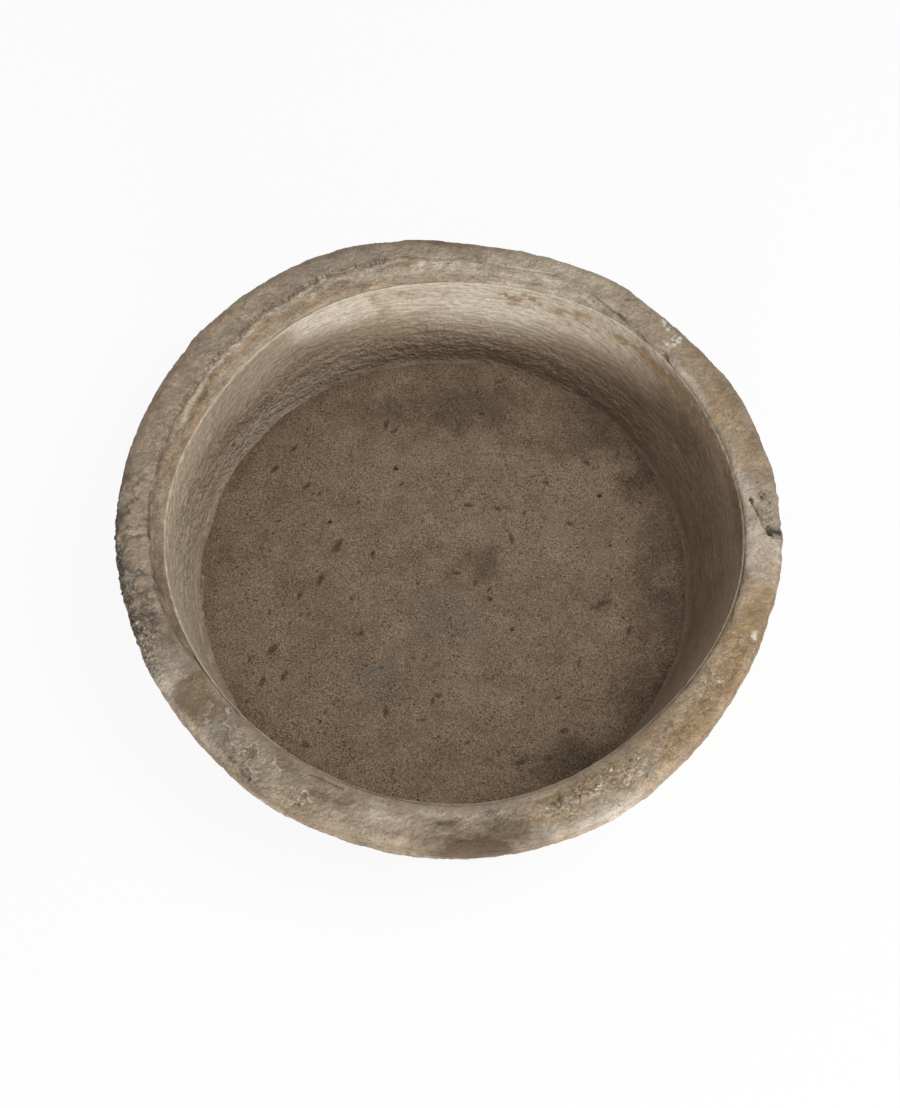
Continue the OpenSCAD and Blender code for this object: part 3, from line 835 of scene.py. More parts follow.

# %% [markdown]
# ## Coat on the inside of the wall
# Lime mortar drawn up the wall with a trowel: level, wavy strokes a few mm apart, small lumps where grit
# was dragged along, and a bead along the top. At the floor it runs out in a cove.

# %% Stains on the coat, with painted light and shade
WALL_ARC_MM = 4.5
RUST_MARKS = [
    (4, -4, 5, 5, 0.45), (12, -5, 8, 6, 0.75), (22, -9, 5, 4, 0.3), (28, -11, 3, 3, 0.4),
    (35, -7, 4, 6, 0.7), (40, -11, 3, 5, 0.9), (45, -9, 4, 8, 0.95), (51, -13, 4, 6, 0.8),
    (57, -12, 4, 7, 0.7), (60, -18, 9, 6, 0.5), (63, -14, 4, 5, 0.5), (69, -8, 2.5, 7, 0.9),
    (72.5, -15, 2.5, 8, 1.0), (76, -8, 2.2, 8, 1.0), (90, -9, 2, 6, 0.3), (95, -10, 3, 7, 0.5),
    (99, -7, 2, 5, 0.35), (104, -8, 1.2, 9, 0.45), (126, -6, 5, 4, 0.25), (28, -3, 5, 3, 0.4),
    (139, -4, 3, 4, 0.3)]
# Chalky bloom, and painted light where the low lamp's pool lies on the top of the back wall
CHALK_AND_LIGHT_MARKS = [
    (78, -2, 26, 74, 0.95), (90, -2, 20, 54, 0.85), (60, -2, 20, 50, 0.8), (44, 0, 14, 18, 0.5),
    (114, -6, 15, 36, 1.1)]
# A warm buff tone, and painted light on the left wall, which faces the high lamp
BUFF_AND_LIGHT_MARKS = [(205, -60, 50, 140, 0.95), (140, -112, 44, 34, 0.6)]
# Soil, and painted shade: low on the back wall, on the right wall, in front and along the front bead
SOIL_AND_SHADE_MARKS = [
    (5, 96, 14, 12, 0.8), (65, -4, 78, 34, 1.0), (26, 70, 16, 50, 0.8), (122, 62, 12, 22, 0.6),
    (40, 30, 18, 34, 0.8), (-4, 20, 48, 62, 0.8), (240, 20, 60, 60, 0.5), (312, 40, 18, 70, 1.1),
    (285, 102, 68, 6, 0.8)]
GREY_MARKS = [(140, -10, 22, 46, 1.0), (120, -50, 20, 30, 0.5)]
GRITTY_MARKS = [(125, 25, 60, 48, 1.0), (60, 14, 34, 26, 0.8), (170, 45, 30, 60, 0.7)]
LUMPY_MARKS = [(158, 55, 26, 60, 1.0), (190, 50, 20, 60, 0.6)]
SPECKS = [
    (-2.5, 102, 1.3), (64, 83, 1.4), (0.8, 90, 0.9), (-5, 75, 1.1), (12, 62, 1.0), (118, 66, 1.0),
    (131, 46, 1.0), (164, 43, 1.4), (96, 59, 0.9), (30, 96, 0.8), (9, 58, 0.8), (14, 60, 1.0),
    (63, 80, 0.8)]


# %% Relief of the coat
def coating(degrees, at, height):
    """Relief in mm and masks for points on the inner coat."""
    degrees, height = np.broadcast_arrays(degrees, height)
    a = np.radians(degrees)
    long_way = np.stack([np.cos(a) * 30, np.sin(a) * 30, height], -1)
    short_way = np.stack([np.cos(a) * 80, np.sin(a) * 80, height], -1)
    foot = ring_at(foot_ring, degrees)
    rise = 100 * (height - bed_top) / (foot - bed_top)
    warp = rough(at, 30, 2, shift=90)
    bend = warp[..., None] * np.array([0.0, 0.0, 3.0])
    strokes = rough(long_way + bend, 7.0, 4, shift=91, fade=0.7)
    ripples = rough(short_way + bend, 5.0, 3, shift=95, fade=0.75)
    swells = rough(short_way, 30, 3, shift=99)
    bumps = rough(at, 20, 3, shift=170)
    fine = rough(at, 4.2, 2, shift=103, fade=0.9)
    gritty = ovals(degrees, rise, GRITTY_MARKS)
    lumpy = ovals(degrees, rise, LUMPY_MARKS)
    away, luck = nearest_spot(at * np.array([1, 1, 1.3]), 5.2, shift=2)
    lumps = (1 - ease(away, 0.4, 2.3)) * np.clip(2 * luck - 0.7, 0, 1) * (0.15 + gritty)
    spots = np.zeros_like(warp)
    for angle, z, half in SPECKS:
        reach = np.hypot(turn_from(degrees, angle) * WALL_ARC_MM, height - z) / half
        spots = np.maximum(spots, 1 - ease(reach, 0.5, 1.2))
    relief = 0.9 * rough(at, 90, 2, shift=110) + (0.3 + 0.4 * gritty) * swells
    relief = relief + 0.8 * strokes * (0.22 + 0.6 * gritty) + 0.7 * ripples * (0.12 + 0.8 * gritty)
    relief = relief + 1.2 * lumps + 0.35 * fine * (0.25 + 1.3 * gritty)
    relief = relief + 1.1 * np.maximum(bumps, -0.2) * lumpy - 0.9 * spots
    relief = relief * (0.4 + 0.6 * ease(rise, 4, 16))
    mottle = rough(at * np.array([1, 1, 1.6]), 18, 5, shift=113, fade=0.85)
    up = height - foot
    stain_at = (degrees + 1.2 * warp, up + 2.2 * mottle)
    masks = {"rust": ovals(*stain_at, RUST_MARKS, 0.1, 1.5) * (1.0 + 1.7 * mottle),
             # Chalk: lime bloom, and painted light on the top of the back wall
             "chalk": ovals(*stain_at, CHALK_AND_LIGHT_MARKS, 0.4, 1.15) * (1.0 + 0.2 * mottle),
             # Buff: a warm tone, partly painted light on the left wall
             "buff": ovals(*stain_at, BUFF_AND_LIGHT_MARKS),
             "grey": ovals(*stain_at, GREY_MARKS, 0.2, 1.3),
             # Soil: soil, partly painted shade on the walls and on the front bead
             "soil": ovals(degrees, rise, SOIL_AND_SHADE_MARKS, 0.2, 1.3) * (1.0 + 0.3 * mottle),
             "sand": (1 - ease(rise, -1, 4)) * (1 + 0.5 * mottle),
             "pits": spots, "gritty": gritty}
    return relief, {name: np.clip(values, 0, 1) for name, values in masks.items()}


# %% [markdown]
# The bead is the finest form of the lining, so it is a ring of its own with more angles. The coat starts
# a little above the bead's lower edge, and there both have the same relief, so no line shows.

# %% Bead along the top of the coat
BEAD_TURNS = 1800
LIP_END = 0.95
bead_angles = turn_angles(BEAD_TURNS)
bead_face = ring_at(hollow_rings[-1], bead_angles)
bead_foot = ring_at(foot_ring, bead_angles)
crown = np.linspace(0, 180, 13)[None, :]
crown_radii = bead_face + THIN_BEAD / 2 * (1 + np.cos(np.radians(crown)))
crown_heights = bead_foot + BEAD_HEIGHT * np.sin(np.radians(crown))
lip_shares = np.linspace(0.99, LIP_END, 7)
lip_radii = rings_at(hollow_rings, hollow_shares, lip_shares, bead_angles)
lip_heights = bed_top + (bead_foot - bed_top) * lip_shares[None, :]
bead_back = np.hstack([lip_radii[:, -1:] + 3.0, bead_face + COAT_THICKNESS, bead_face + COAT_THICKNESS])
bead_back_heights = np.hstack([lip_heights[:, -1:], lip_heights[:, -1:], bead_foot - 0.5])
bead_radii = np.hstack([crown_radii, lip_radii, bead_back])
bead_heights = np.hstack([crown_heights, lip_heights, bead_back_heights])
bead_at = ring_points(bead_angles, bead_radii, bead_heights)
bead_relief, bead_masks = coating(bead_angles, bead_at, bead_heights)
fray = rough(bead_at, 12, 4, shift=120, fade=0.65)
bead_free = np.ones((1, bead_radii.shape[1]))
bead_free[0, -3:] = 0.0
bead_blend = ease(bead_foot - bead_heights, 0, 4)
bead_relief = bead_relief * (0.3 + 0.7 * bead_blend) + 0.3 * fray * (1 - bead_blend)
# The crown is painted lighter: a painted highlight along the bead's crest, weaker where the skin rolls over
bead_masks["crown"] = (1 - ease(bead_foot - bead_heights, -1.2, 1.5)) * (1 - 0.75 * rolled_over(bead_angles))
bead_ridge = ring_piece("bead_ridge", bead_angles, bead_at, bead_relief * bead_free, bead_masks,
                        "wall_lining")

# %% Coat below the bead
COAT_TURNS = 1200
COVE = 8.0
COVE_SINK = 1.2
HIDDEN_DEPTH = 4.5
coat_angles = turn_angles(COAT_TURNS)
cove_top = bed_top + COVE
coat_foot = ring_at(foot_ring, coat_angles)
down = np.linspace(0, 1, 72)[None, :]
coat_start = LIP_END + 0.005
coat_top = bed_top + (coat_foot - bed_top) * coat_start
coat_heights = coat_top + (cove_top - coat_top) * down
coat_shares = coat_start + (hollow_shares[0] - coat_start) * down
coat_radii = rings_at(hollow_rings, hollow_shares, coat_shares[0], coat_angles)
cove_turns = np.linspace(0, 90, 9)[None, 1:]
cove_radii = coat_radii[:, -1:] - COVE + COVE * np.cos(np.radians(cove_turns))
cove_heights = cove_top - (COVE + COVE_SINK) * np.sin(np.radians(cove_turns)) + 0 * cove_radii
hidden_radii = np.hstack([coat_radii[:, -1:], coat_radii[:, :1]]) + HIDDEN_DEPTH
hidden_heights = np.hstack([0 * hidden_radii[:, :1] + bed_top - COVE_SINK - 0.4, coat_top])
coat_radii = np.hstack([coat_radii, cove_radii, hidden_radii])
coat_heights = np.hstack([coat_heights, cove_heights, hidden_heights])
coat_at = ring_points(coat_angles, coat_radii, coat_heights)
coat_relief, coat_masks = coating(coat_angles, coat_at, coat_heights)
coat_free = np.ones((1, coat_radii.shape[1]))
coat_free[0, -2:] = 0.0
coat_masks["crown"] = 0 * coat_relief
coat_wall = ring_piece("coat_wall", coat_angles, coat_at, coat_relief * coat_free, coat_masks,
                       "wall_lining")

# %% [markdown]
# ## Sandy bed
# Screed with one to two mm grit, tamped level by hand, with gouges where sharp stones were pulled out.
# Damp, ash and light patches are soft ovals again, this time placed in mm from the middle. The damp patches
# also hold painted shadow along the walls and painted shade round the edge of the bed.

# %% Marks on the bed
HOLES = [
    (-47, 116, 2.4), (-112, 58, 1.9), (156, 84, 2.1), (164, 30, 1.2), (45, -26, 1.9), (65, -58, 1.7),
    (-69, 24, 1.6)]
# Damp, and painted shadow where the walls shade the bed: along the right wall, in front and at the back
DAMP_AND_SHADOW_MARKS = [
    (10, 175, 70, 24, 1.0), (-60, 180, 60, 22, 0.8), (110, 140, 60, 18, 0.7), (28, 10, 24, 20, 1.1),
    (60, 70, 50, 8, 0.6), (78, -16, 34, 34, 0.4), (204, 60, 20, 50, 0.6), (214, -20, 20, 60, 0.7),
    (150, -30, 26, 20, 0.4), (60, 185, 60, 34, 0.8), (40, 196, 110, 26, 1.0), (140, 160, 60, 40, 1.0),
    (208, 20, 22, 90, 0.6), (130, -190, 80, 28, 0.95), (190, -120, 28, 54, 0.8), (206, 124, 34, 54, 1.0),
    (-160, 130, 40, 40, 0.3), (70, -190, 80, 20, 0.5), (158, -31, 16, 12, 0.8), (120, -130, 40, 30, 0.4)]
ASHY_MARKS = [(5, -48, 44, 34, 1.0), (-68, -112, 34, 24, 0.9), (30, -75, 50, 14, 0.4)]
LIGHT_MARKS = [
    (60, 40, 90, 60, 0.8), (-180, -60, 40, 90, 0.6), (140, 100, 50, 30, 0.6), (40, -130, 70, 26, 0.4),
    (-60, 120, 70, 34, 0.5)]
GOUGES = [
    (-105, 31, 60, 9), (-119, -2, 60, 8), (-165, -76, 40, 8), (-173, -107, 65, 6), (-153, -102, 60, 7),
    (-131, -40, 60, 4), (-70, 21, -65, 4), (-57, 165, 75, 6), (-50, 158, 20, 5), (-41, 99, 30, 4),
    (-84, 79, 60, 3), (-136, 98, 40, 6), (-168, 118, 50, 7), (-150, 140, 45, 5), (-163, 60, 20, 3),
    (67, 38, -75, 6), (62, 47, -60, 3), (125, 54, -40, 6), (103, 99, -40, 4), (145, 121, -35, 5),
    (155, -31, 20, 8), (148, -36, -10, 5), (-30, -86, -40, 3), (-7, -124, 5, 4), (-12, -130, 80, 4),
    (-2, -131, 80, 3), (20, -170, 15, 4), (113, -160, 10, 7), (70, -189, 15, 8), (-130, -171, -30, 6),
    (128, -93, 80, 6), (107, -127, 20, 4), (-56, -140, 85, 5), (-20, -148, 0, 3), (40, 177, -20, 4),
    (54, 70, -30, 4), (26, 75, -5, 6), (30, -10, 60, 4), (44, -16, 70, 3), (12, 2, -30, 4),
    (178, -60, 70, 5), (-80, -60, 60, 3), (-140, -20, 55, 4), (-60, -96, 20, 3), (96, -186, 10, 5),
    (84, -120, 30, 3)]
print(len(GOUGES), "gouges", len(HOLES), "holes")


# %% Relief of the bed
def blots(x, y, marks, core=0.3, rim=1.3):
    """Soft ovals on the bed: x, y, half length and half width in mm, strength."""
    cover = np.zeros_like(x)
    for x0, y0, half_x, half_y, strength in marks:
        reach = np.hypot((x - x0) / half_x, (y - y0) / half_y)
        cover = np.maximum(cover, strength * (1 - ease(reach, core, rim)))
    return cover


def bed_surface(x, y, at):
    """Relief in mm and masks of the sandy bed."""
    warp = rough(at, 30, 3, shift=120)
    swells = rough(at, 120, 3, shift=121)
    crumbs = rough(at, 7, 3, shift=128, fade=0.8)
    dents = np.zeros_like(x)
    for gx0, gy0, slope, length in GOUGES:
        c, s = math.cos(math.radians(slope)), math.sin(math.radians(slope))
        along, across = (x - gx0) * c + (y - gy0) * s, (y - gy0) * c - (x - gx0) * s
        reach = np.hypot(along / length, across / (1.2 + 0.22 * length)) + 0.22 * crumbs
        dents = np.maximum(dents, 1 - ease(reach, 0.5, 1.15))
    away, luck = nearest_spot(at, 11.0, shift=6)
    small = (1 - ease(away, 0.5, 2.2)) * (luck > 0.82)
    along, across = 0.42 * x + 0.91 * y, 0.91 * x - 0.42 * y
    away, luck = nearest_spot(np.stack([0.4 * along, across, 0 * x], -1), 9.0, shift=4)
    small = np.maximum(small, (1 - ease(away, 0.4, 2.0)) * (luck > 0.68) * ease(warp, -0.15, 0.25))
    holes = np.zeros_like(x)
    for hx, hy, half in HOLES:
        holes = np.maximum(holes, 1 - ease(np.hypot(x - hx, y - hy), half * 0.6, half * 1.3))
    grit = rough(at, 3.6, 2, shift=130, fade=0.8)
    relief = 0.9 * swells + 0.35 * rough(at, 22, 3, shift=124) + 0.16 * grit
    relief = relief - 1.8 * dents - 0.8 * small - 2.2 * holes
    spread = np.hypot(x, y)
    damp = blots(x + 12 * warp, y + 12 * rough(at, 34, 3, shift=126), DAMP_AND_SHADOW_MARKS, 0.05, 1.6)
    # Darker round the edge of the bed, next to the wall: painted shade
    damp = np.maximum(damp, 0.6 * ease(spread, 214, 240))
    ash = blots(x + 8 * warp, y + 8 * warp, ASHY_MARKS)
    light = blots(x + 14 * warp, y, LIGHT_MARKS)
    mottle = rough(at, 26, 5, shift=133, fade=0.7)
    damp = ease(damp * (1 + 0.3 * mottle), 0.0, 1.35)
    masks = {"damp": damp, "ash": ease(ash + 0.2 * mottle, 0.0, 1.1),
             "light": ease(light + 0.3 * mottle, 0.2, 0.9),
             "dents": np.clip(dents + small + holes, 0, 1), "holes": holes}
    return relief, masks


# %% [markdown]
# A disc of rings would crowd its points in the middle, so we squeeze a square grid into the circle: all
# faces stay about the same size.

# %% Top of the bed
BED_GRID = 310
bed_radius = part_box("floor_bed")[1].x / MM
side = np.linspace(-1, 1, BED_GRID)
gx, gy = np.meshgrid(side, side, indexing="ij")
bed_x = gx * np.sqrt(1 - gy * gy / 2) * bed_radius
bed_y = gy * np.sqrt(1 - gx * gx / 2) * bed_radius
bed_at = np.stack([bed_x, bed_y, 0 * bed_x], -1)
bed_relief, bed_masks = bed_surface(bed_x, bed_y, bed_at)
edge_fall = 1 - ease(np.hypot(bed_x, bed_y), bed_radius - 3, bed_radius)
top_z = bed_top + bed_relief * edge_fall
top_ids = np.arange(BED_GRID * BED_GRID).reshape(BED_GRID, BED_GRID)
top_faces = np.stack([top_ids[:-1, :-1], top_ids[1:, :-1], top_ids[1:, 1:], top_ids[:-1, 1:]], -1)
top_faces = top_faces.reshape(-1, 4)
border = np.concatenate([top_ids[:-1, 0], top_ids[-1, :-1], top_ids[:0:-1, -1], top_ids[0, :0:-1]])
border_next = np.roll(border, -1)
print("bed border", len(border))

# %% [markdown]
# The underside of the bed lies on the slab and is never seen, so it is a fan of few faces: only its
# border has to match the sides.

# %% Close the bed
border_points = np.stack([bed_x.ravel()[border], bed_y.ravel()[border], np.full(len(border), slab_top)], -1)
bed_points = np.vstack([np.stack([bed_x.ravel(), bed_y.ravel(), top_z.ravel()], -1), border_points,
                        [[0.0, 0.0, slab_top]]])
first_low = BED_GRID ** 2
low = np.arange(len(border)) + first_low
low_next = np.roll(low, -1)
side_faces = np.stack([border, low, low_next, border_next], -1)
middle = np.full(len(border), first_low + len(border))


def with_triangles(quads, triangles):
    """Quads cut into triangles, followed by the given triangles."""
    return np.vstack([quads[:, [0, 1, 2]], quads[:, [0, 2, 3]], triangles])


def with_zeros(masks, added):
    """Masks that are 0 on so many added points."""
    return {name: np.concatenate([np.ravel(values), np.zeros(added)]) for name, values in masks.items()}


bed_faces = with_triangles(np.vstack([top_faces, side_faces]), np.stack([low_next, low, middle], -1))
bed_masks = with_zeros(bed_masks, len(bed_points) - first_low)
sand_bed = make_piece("sand_bed", bed_points, bed_faces, bed_masks, "floor_bed")

# %% [markdown]
# ## Foot slab
# The slab that closes the planter below. Its rim shows from the side, under the wall, with a rolled edge
# that was cast in the mould, and its flat underside carries the whole weight.

# %% Slab sections
EDGE_ROLL = 6.0
slab_low = ring_at(slab_low_ring, angles)
slab_high = ring_at(outer_rings[0], angles)
roll = np.linspace(0, 90, 7)[None, :]
roll_radii = slab_low - EDGE_ROLL + EDGE_ROLL * np.sin(np.radians(roll))
roll_heights = EDGE_ROLL - EDGE_ROLL * np.cos(np.radians(roll)) + 0 * slab_low
rise_heights = np.linspace(EDGE_ROLL, slab_top, 13)[None, 1:]
rise_radii = slab_low + (slab_high - slab_low) * (rise_heights - EDGE_ROLL) / (slab_top - EDGE_ROLL)
flat_shares = np.array([[0.75, 0.45, 0.2]])
below_radii = np.hstack([slab_low * 0.2, slab_low * 0.5, slab_low * 0.8, slab_low - 12.0])
slab_radii = np.hstack([below_radii, roll_radii, rise_radii, slab_high * flat_shares])
slab_heights = np.hstack([0 * below_radii, roll_heights, rise_heights + 0 * slab_low,
                          slab_top + 0 * slab_low * flat_shares])
slab_at = ring_points(angles, slab_radii, slab_heights)
print("slab grid", slab_radii.shape)

# %% [markdown]
# Its grid doesn't close on itself as the others do: it ends in a point in the middle of each face, so a
# fan of triangles closes it above and below.

# %% Relief and faces of the slab
slab_relief, slab_masks = outside(angles, slab_heights - shoulder_foot, slab_at)
slab_free = ease(slab_heights, 0.3, 4.0)
slab_free[:, -3:] = 0.0
slab_normals = out_normals(slab_at)
slab_normals[:, -4] = leaning_out(angles, FOOT_LEAN)
slab_points = slab_at + slab_normals * (slab_relief * slab_free)[..., None]
count = slab_radii.shape[1]
open_faces = ring_faces(TURNS, count).reshape(TURNS, count, 4)[:, :-1].reshape(-1, 4)
first = np.arange(TURNS) * count
second = np.roll(first, -1)
poles = TURNS * count
below_fan = np.stack([np.full(TURNS, poles), second, first], -1)
above_fan = np.stack([np.full(TURNS, poles + 1), first + count - 1, second + count - 1], -1)
slab_faces = with_triangles(open_faces, np.vstack([below_fan, above_fan]))
slab_points = np.vstack([slab_points.reshape(-1, 3), [[0, 0, 0], [0, 0, slab_top]]])
foot_slab = make_piece("foot_slab", slab_points, slab_faces, with_zeros(slab_masks, 2), "base_slab")

# %% [markdown]
# ## Materials
# All finishes are mineral and matt, with an IOR near 1.5. Colours are written as sRGB hex values, as a
# painter would pick them, and turned to the linear values that Blender works with. One function adds any
# node, and a second one lays coloured layers over each other, since that is how every finish is built.

# %% Colour and node helpers
MINERAL_IOR = 1.5


def linear(hex_code):
    """Linear RGBA of an sRGB hex colour."""
    values = [int(hex_code[n:n + 2], 16) / 255 for n in (1, 3, 5)]
    return [v / 12.92 if v <= 0.04045 else ((v + 0.055) / 1.055) ** 2.4 for v in values] + [1.0]


def add(tree, kind, links=None, out=0, **settings):
    """Adds a node and returns one output. links gives its inputs values, hex colours or other sockets."""
    node = tree.nodes.new("ShaderNode" + kind)
    for name, value in settings.items():
        setattr(node, name, value)
    for key, value in (links or {}).items():
        if isinstance(value, bpy.types.NodeSocket):
            tree.links.new(value, node.inputs[key])
        else:
            node.inputs[key].default_value = linear(value) if isinstance(value, str) else value
    return node.outputs[out]


def start_material(name, roughness):
    """A material, a way to add nodes to it, its shader and its place in space."""
    material = bpy.data.materials.new(name)
    material.use_nodes = True
    shader = material.node_tree.nodes["Principled BSDF"]
    shader.inputs["Roughness"].default_value = roughness
    shader.inputs["IOR"].default_value = MINERAL_IOR
    put = functools.partial(add, material.node_tree)
    return material, put, shader, put("TexCoord", out="Object")


# %% [markdown]
# Three small helpers keep the recipes short. A noise is told by its longest wave in mm, its detail and
# how rough it is. A spread stretches a slice of a value over 0 to 1, or over other ends. A layer is
# what covers, its colour and how strong it is.

# %% Recipes for noise, spreads and layers
def waves(where, millimetres, detail, roughness):
    """Inputs of a noise whose longest waves are so many mm long."""
    return {"Vector": where, "Scale": 1.0 / (millimetres * MM), "Detail": detail, "Roughness": roughness}


def spread(value, low, high, top=1.0, bottom=0.0):
    """Inputs that stretch a value between low and high over bottom to top."""
    return {0: value, 1: low, 2: high, 3: bottom, 4: top}


def layered(put, colour, layers):
    """Lays colours over a colour. Each layer is a mask's name or a socket, its colour, and its strength."""
    for cover, tint, *strength in layers:
        if isinstance(cover, str):
            cover = put("Attribute", out="Fac", attribute_name=cover)
        if strength:
            cover = put("Math", {0: cover, 1: strength[0]}, operation="MULTIPLY")
        colour = put("Mix", {0: cover, 6: colour, 7: tint}, 2, data_type="RGBA")
    return colour


def finish(put, shader, colour, height, millimetres):
    """Gives the shader its colour, and a small relief of so many mm on top of the mesh's own."""
    links = shader.id_data.links
    links.new(colour, shader.inputs["Base Color"])
    bump = put("Bump", {"Height": height, "Strength": 1.0, "Distance": millimetres * MM})
    links.new(bump, shader.inputs["Normal"])


# %% [markdown]
# ### Hand smeared lime mortar, weathered
# The colour is built as weather builds it: a tan ground, lighter and darker clouds, then each stain by
# its own mask, and last the grit, flecks and pores. Some masks also lay painted light: painted shade between
# the teeth, and partly in the furrows and on the dark front patch, and a painted highlight partly on the
# lace. On old mortar clouds, mottles and grains are all about as strong, so the noise keeps its strength down
# to the finest layer. Real grit is under a mm, finer than a dot of the picture, so grit and pores are drawn
# at 2 mm to show. A rough, matt skin without any shine.

# %% Mortar and stone of the outside
PIT_DARK = "#40382E"
# The gaps layer is painted shade; furrow and smoke are partly painted shade; lace is partly a painted
# highlight
STAIN_AND_PAINTED_LIGHT_LAYERS = (("umber", "#776149", 0.75), ("lifted", "#A59A89", 0.55), ("cream", "#C6BAA9", 0.85),
                ("ochre", "#A2825A", 0.7), ("slate", "#86837A", 0.6), ("lobe", "#A8957F", 0.6),
                ("furrow", "#60564A", 0.7), ("ash", "#574B3E", 0.82), ("smoke", "#5B4A38", 0.85),
                ("lace", "#CBC0AE", 0.9), ("gaps", "#5F5040", 0.8), ("chip", "#A29684", 0.65))


def weathered(name, ground, light, deep, roughness):
    """Weathered mineral surface with stains, painted shade and highlight from the masks, flecks, pores and a
    fine bump.
    """
    material, put, shader, where = start_material(name, roughness)
    lively, bevel, crusty, streak = [put("Attribute", out="Fac", attribute_name=mask)
                                     for mask in ("lively", "bevel", "crust", "streak")]
    clouds, patches, plates, veins, grit, tone, crumble, tooth = [
        put("TexNoise", waves(where, *layer)) for layer in (
            (30, 6.0, 0.7), (8, 5.0, 0.75), (17, 3.0, 0.6), (12, 3.0, 0.6), (2.0, 1.0, 0.7), (5.5, 2.4, 1.0),
            (4.0, 3.0, 0.8), (3.6, 1.0, 0.7))]
    flakes = put("Math", {0: plates, 1: 0.07}, operation="SNAP")
    level = put("Mapping", {"Vector": where, "Scale": (0.1, 0.1, 1.0)})
    streaks = put("TexNoise", waves(level, 2.6, 3.0, 0.8))

    # Fine dark seams run where a noise passes through its middle value
    seams = put("Math", {0: veins, 1: 0.5}, operation="SUBTRACT")
    seams = put("MapRange", spread(put("Math", {0: seams}, operation="ABSOLUTE"), 0.006, 0.022, 0.0, 1.0))
    for share in (lively, put("MapRange", spread(clouds, 0.42, 0.6))):
        seams = put("Math", {0: seams, 1: share}, operation="MULTIPLY")

    colour = layered(put, ground, ((put("MapRange", spread(clouds, 0.40, 0.66)), light),
                                   (put("MapRange", spread(patches, 0.50, 0.75, 0.6)), deep)) + STAIN_AND_PAINTED_LIGHT_LAYERS)
    for value, low, high in ((streak, 0.0, 1.0), (flakes, 0.3, 0.7)):
        factor = put("MapRange", spread(value, low, high, 1.18, 0.82))
        colour = put("VectorMath", {0: colour, 3: factor}, operation="SCALE")
    for low, high, top, tint in ((0.48, 0.40, 0.8, "#3F382F"), (0.56, 0.64, 0.6, "#BDB3A2")):
        share = put("MapRange", spread(crumble, low, high, top))
        share = put("Math", {0: share, 1: crusty}, operation="MULTIPLY")
        colour = layered(put, colour, ((share, tint),))

    # Mottle, stronger where the surface is lively and calm on the bevel, which has drawn streaks instead
    speckle = put("Mix", {0: lively, 2: 0.28, 3: 0.52})
    speckle = put("Mix", {0: bevel, 2: speckle, 3: 0.25})
    mottle = put("MapRange", spread(tone, 0.25, 0.75, 0.45, -0.45))
    drawn = put("MapRange", spread(streaks, 0.3, 0.7, 1.4, 0.6))
    for factor in (put("Math", {0: mottle, 1: speckle, 2: 1.0}, operation="MULTIPLY_ADD"),
                   put("Mix", {0: bevel, 2: 1.0, 3: drawn})):
        colour = put("VectorMath", {0: colour, 3: factor}, operation="SCALE")

    flecks = put("Math", {0: put("MapRange", spread(grit, 0.60, 0.72, 0.6)), 1: lively}, operation="MULTIPLY")
    pores = put("Math", {0: put("MapRange", spread(grit, 0.42, 0.30)),
                         1: put("MapRange", spread(clouds, 0.42, 0.64, 0.9, 0.1))}, operation="MULTIPLY")
    colour = layered(put, colour, ((flecks, "#C9BEAC"), (pores, "#5A4C3C"), (seams, "#5F4F3D"),
                                   ("dark", PIT_DARK), ("pale_stone", "#D6CFC1")))
    height = put("Math", {0: tooth, 1: put("MapRange", spread(lively, 0, 1, 1.1, 0.6))}, operation="MULTIPLY")
    height = put("Math", {0: flakes, 1: 1.6, 2: height}, operation="MULTIPLY_ADD")
    height = put("Math", {0: bevel, 1: streaks, 2: height}, operation="MULTIPLY_ADD")
    finish(put, shader, colour, height, 2.4)
    return material


rim_mortar = weathered("lime_mortar_hand_smeared_weathered", "#9E8B77", "#A79882", "#85745F", 0.9)
rim_skin.data.materials.append(rim_mortar)

# %% [markdown]
# ### Cast stone, weathered
# The wall and the foot were cast, not smeared. The stone is a little darker and browner than the skin,
# so the same recipe gets a deeper ground. To the eye it is as matt as dry earth.

# %% Cast stone
cast_stone = weathered("cast_stone_weathered", "#8F7C67", "#9D8C76", "#7A6854", 0.92)
wall_body.data.materials.append(cast_stone)
foot_slab.data.materials.append(cast_stone)

# %% [markdown]
# ### Trowelled lime coat
# Buff lime mortar, drawn level, a little denser than the skin. Its stains are rust along the bead, chalky
# bloom high on the back wall with painted light laid over it where the low lamp's pool falls, a lighter buff
# on the left wall that is partly painted light, and soil in the low, damp part that is partly painted shade,
# there, on the right wall and on the front bead. The bead's crown is painted lighter, a painted highlight
# along its crest. Noise that is squeezed in x and y runs in level streaks. Where grit was dragged along,
# bumps about 4 mm wide catch the light.

# %% Lime coat
coat_lime, put, shader, where = start_material("lime_mortar_trowelled_buff", 0.88)
gritty = put("Attribute", out="Fac", attribute_name="gritty")
flat_where, level_where = [put("Mapping", {"Vector": where, "Scale": (s, s, 1.0)}) for s in (0.4, 0.12)]
drawn, tone, grain, ripple, dots = [put("TexNoise", waves(*layer)) for layer in (
    (level_where, 3.6, 2.0, 0.8), (where, 5, 2.4, 1.0), (where, 2.0, 1.0, 0.8), (flat_where, 3.4, 0.6, 0.6),
    (where, 3.0, 0.8, 0.6))]
colour = layered(put, "#937F6A", (
    (put("MapRange", spread(drawn, 0.3, 0.7)), "#A3917B"), ("grey", "#8F8374", 0.6),
    # Chalk and buff are partly painted light on the back and left walls, soil is partly painted shade
    ("chalk", "#CDC2B1", 0.85), ("buff", "#C6B6A2", 0.8), ("soil", "#64503A", 0.65),
    # The crown layer is a painted highlight along the bead's crest
    ("rust", "#876840", 0.8), ("crown", "#C2B5A0", 0.65), ("sand", "#7E6B56", 0.75),
    ("pits", "#3F372D", 0.9)))
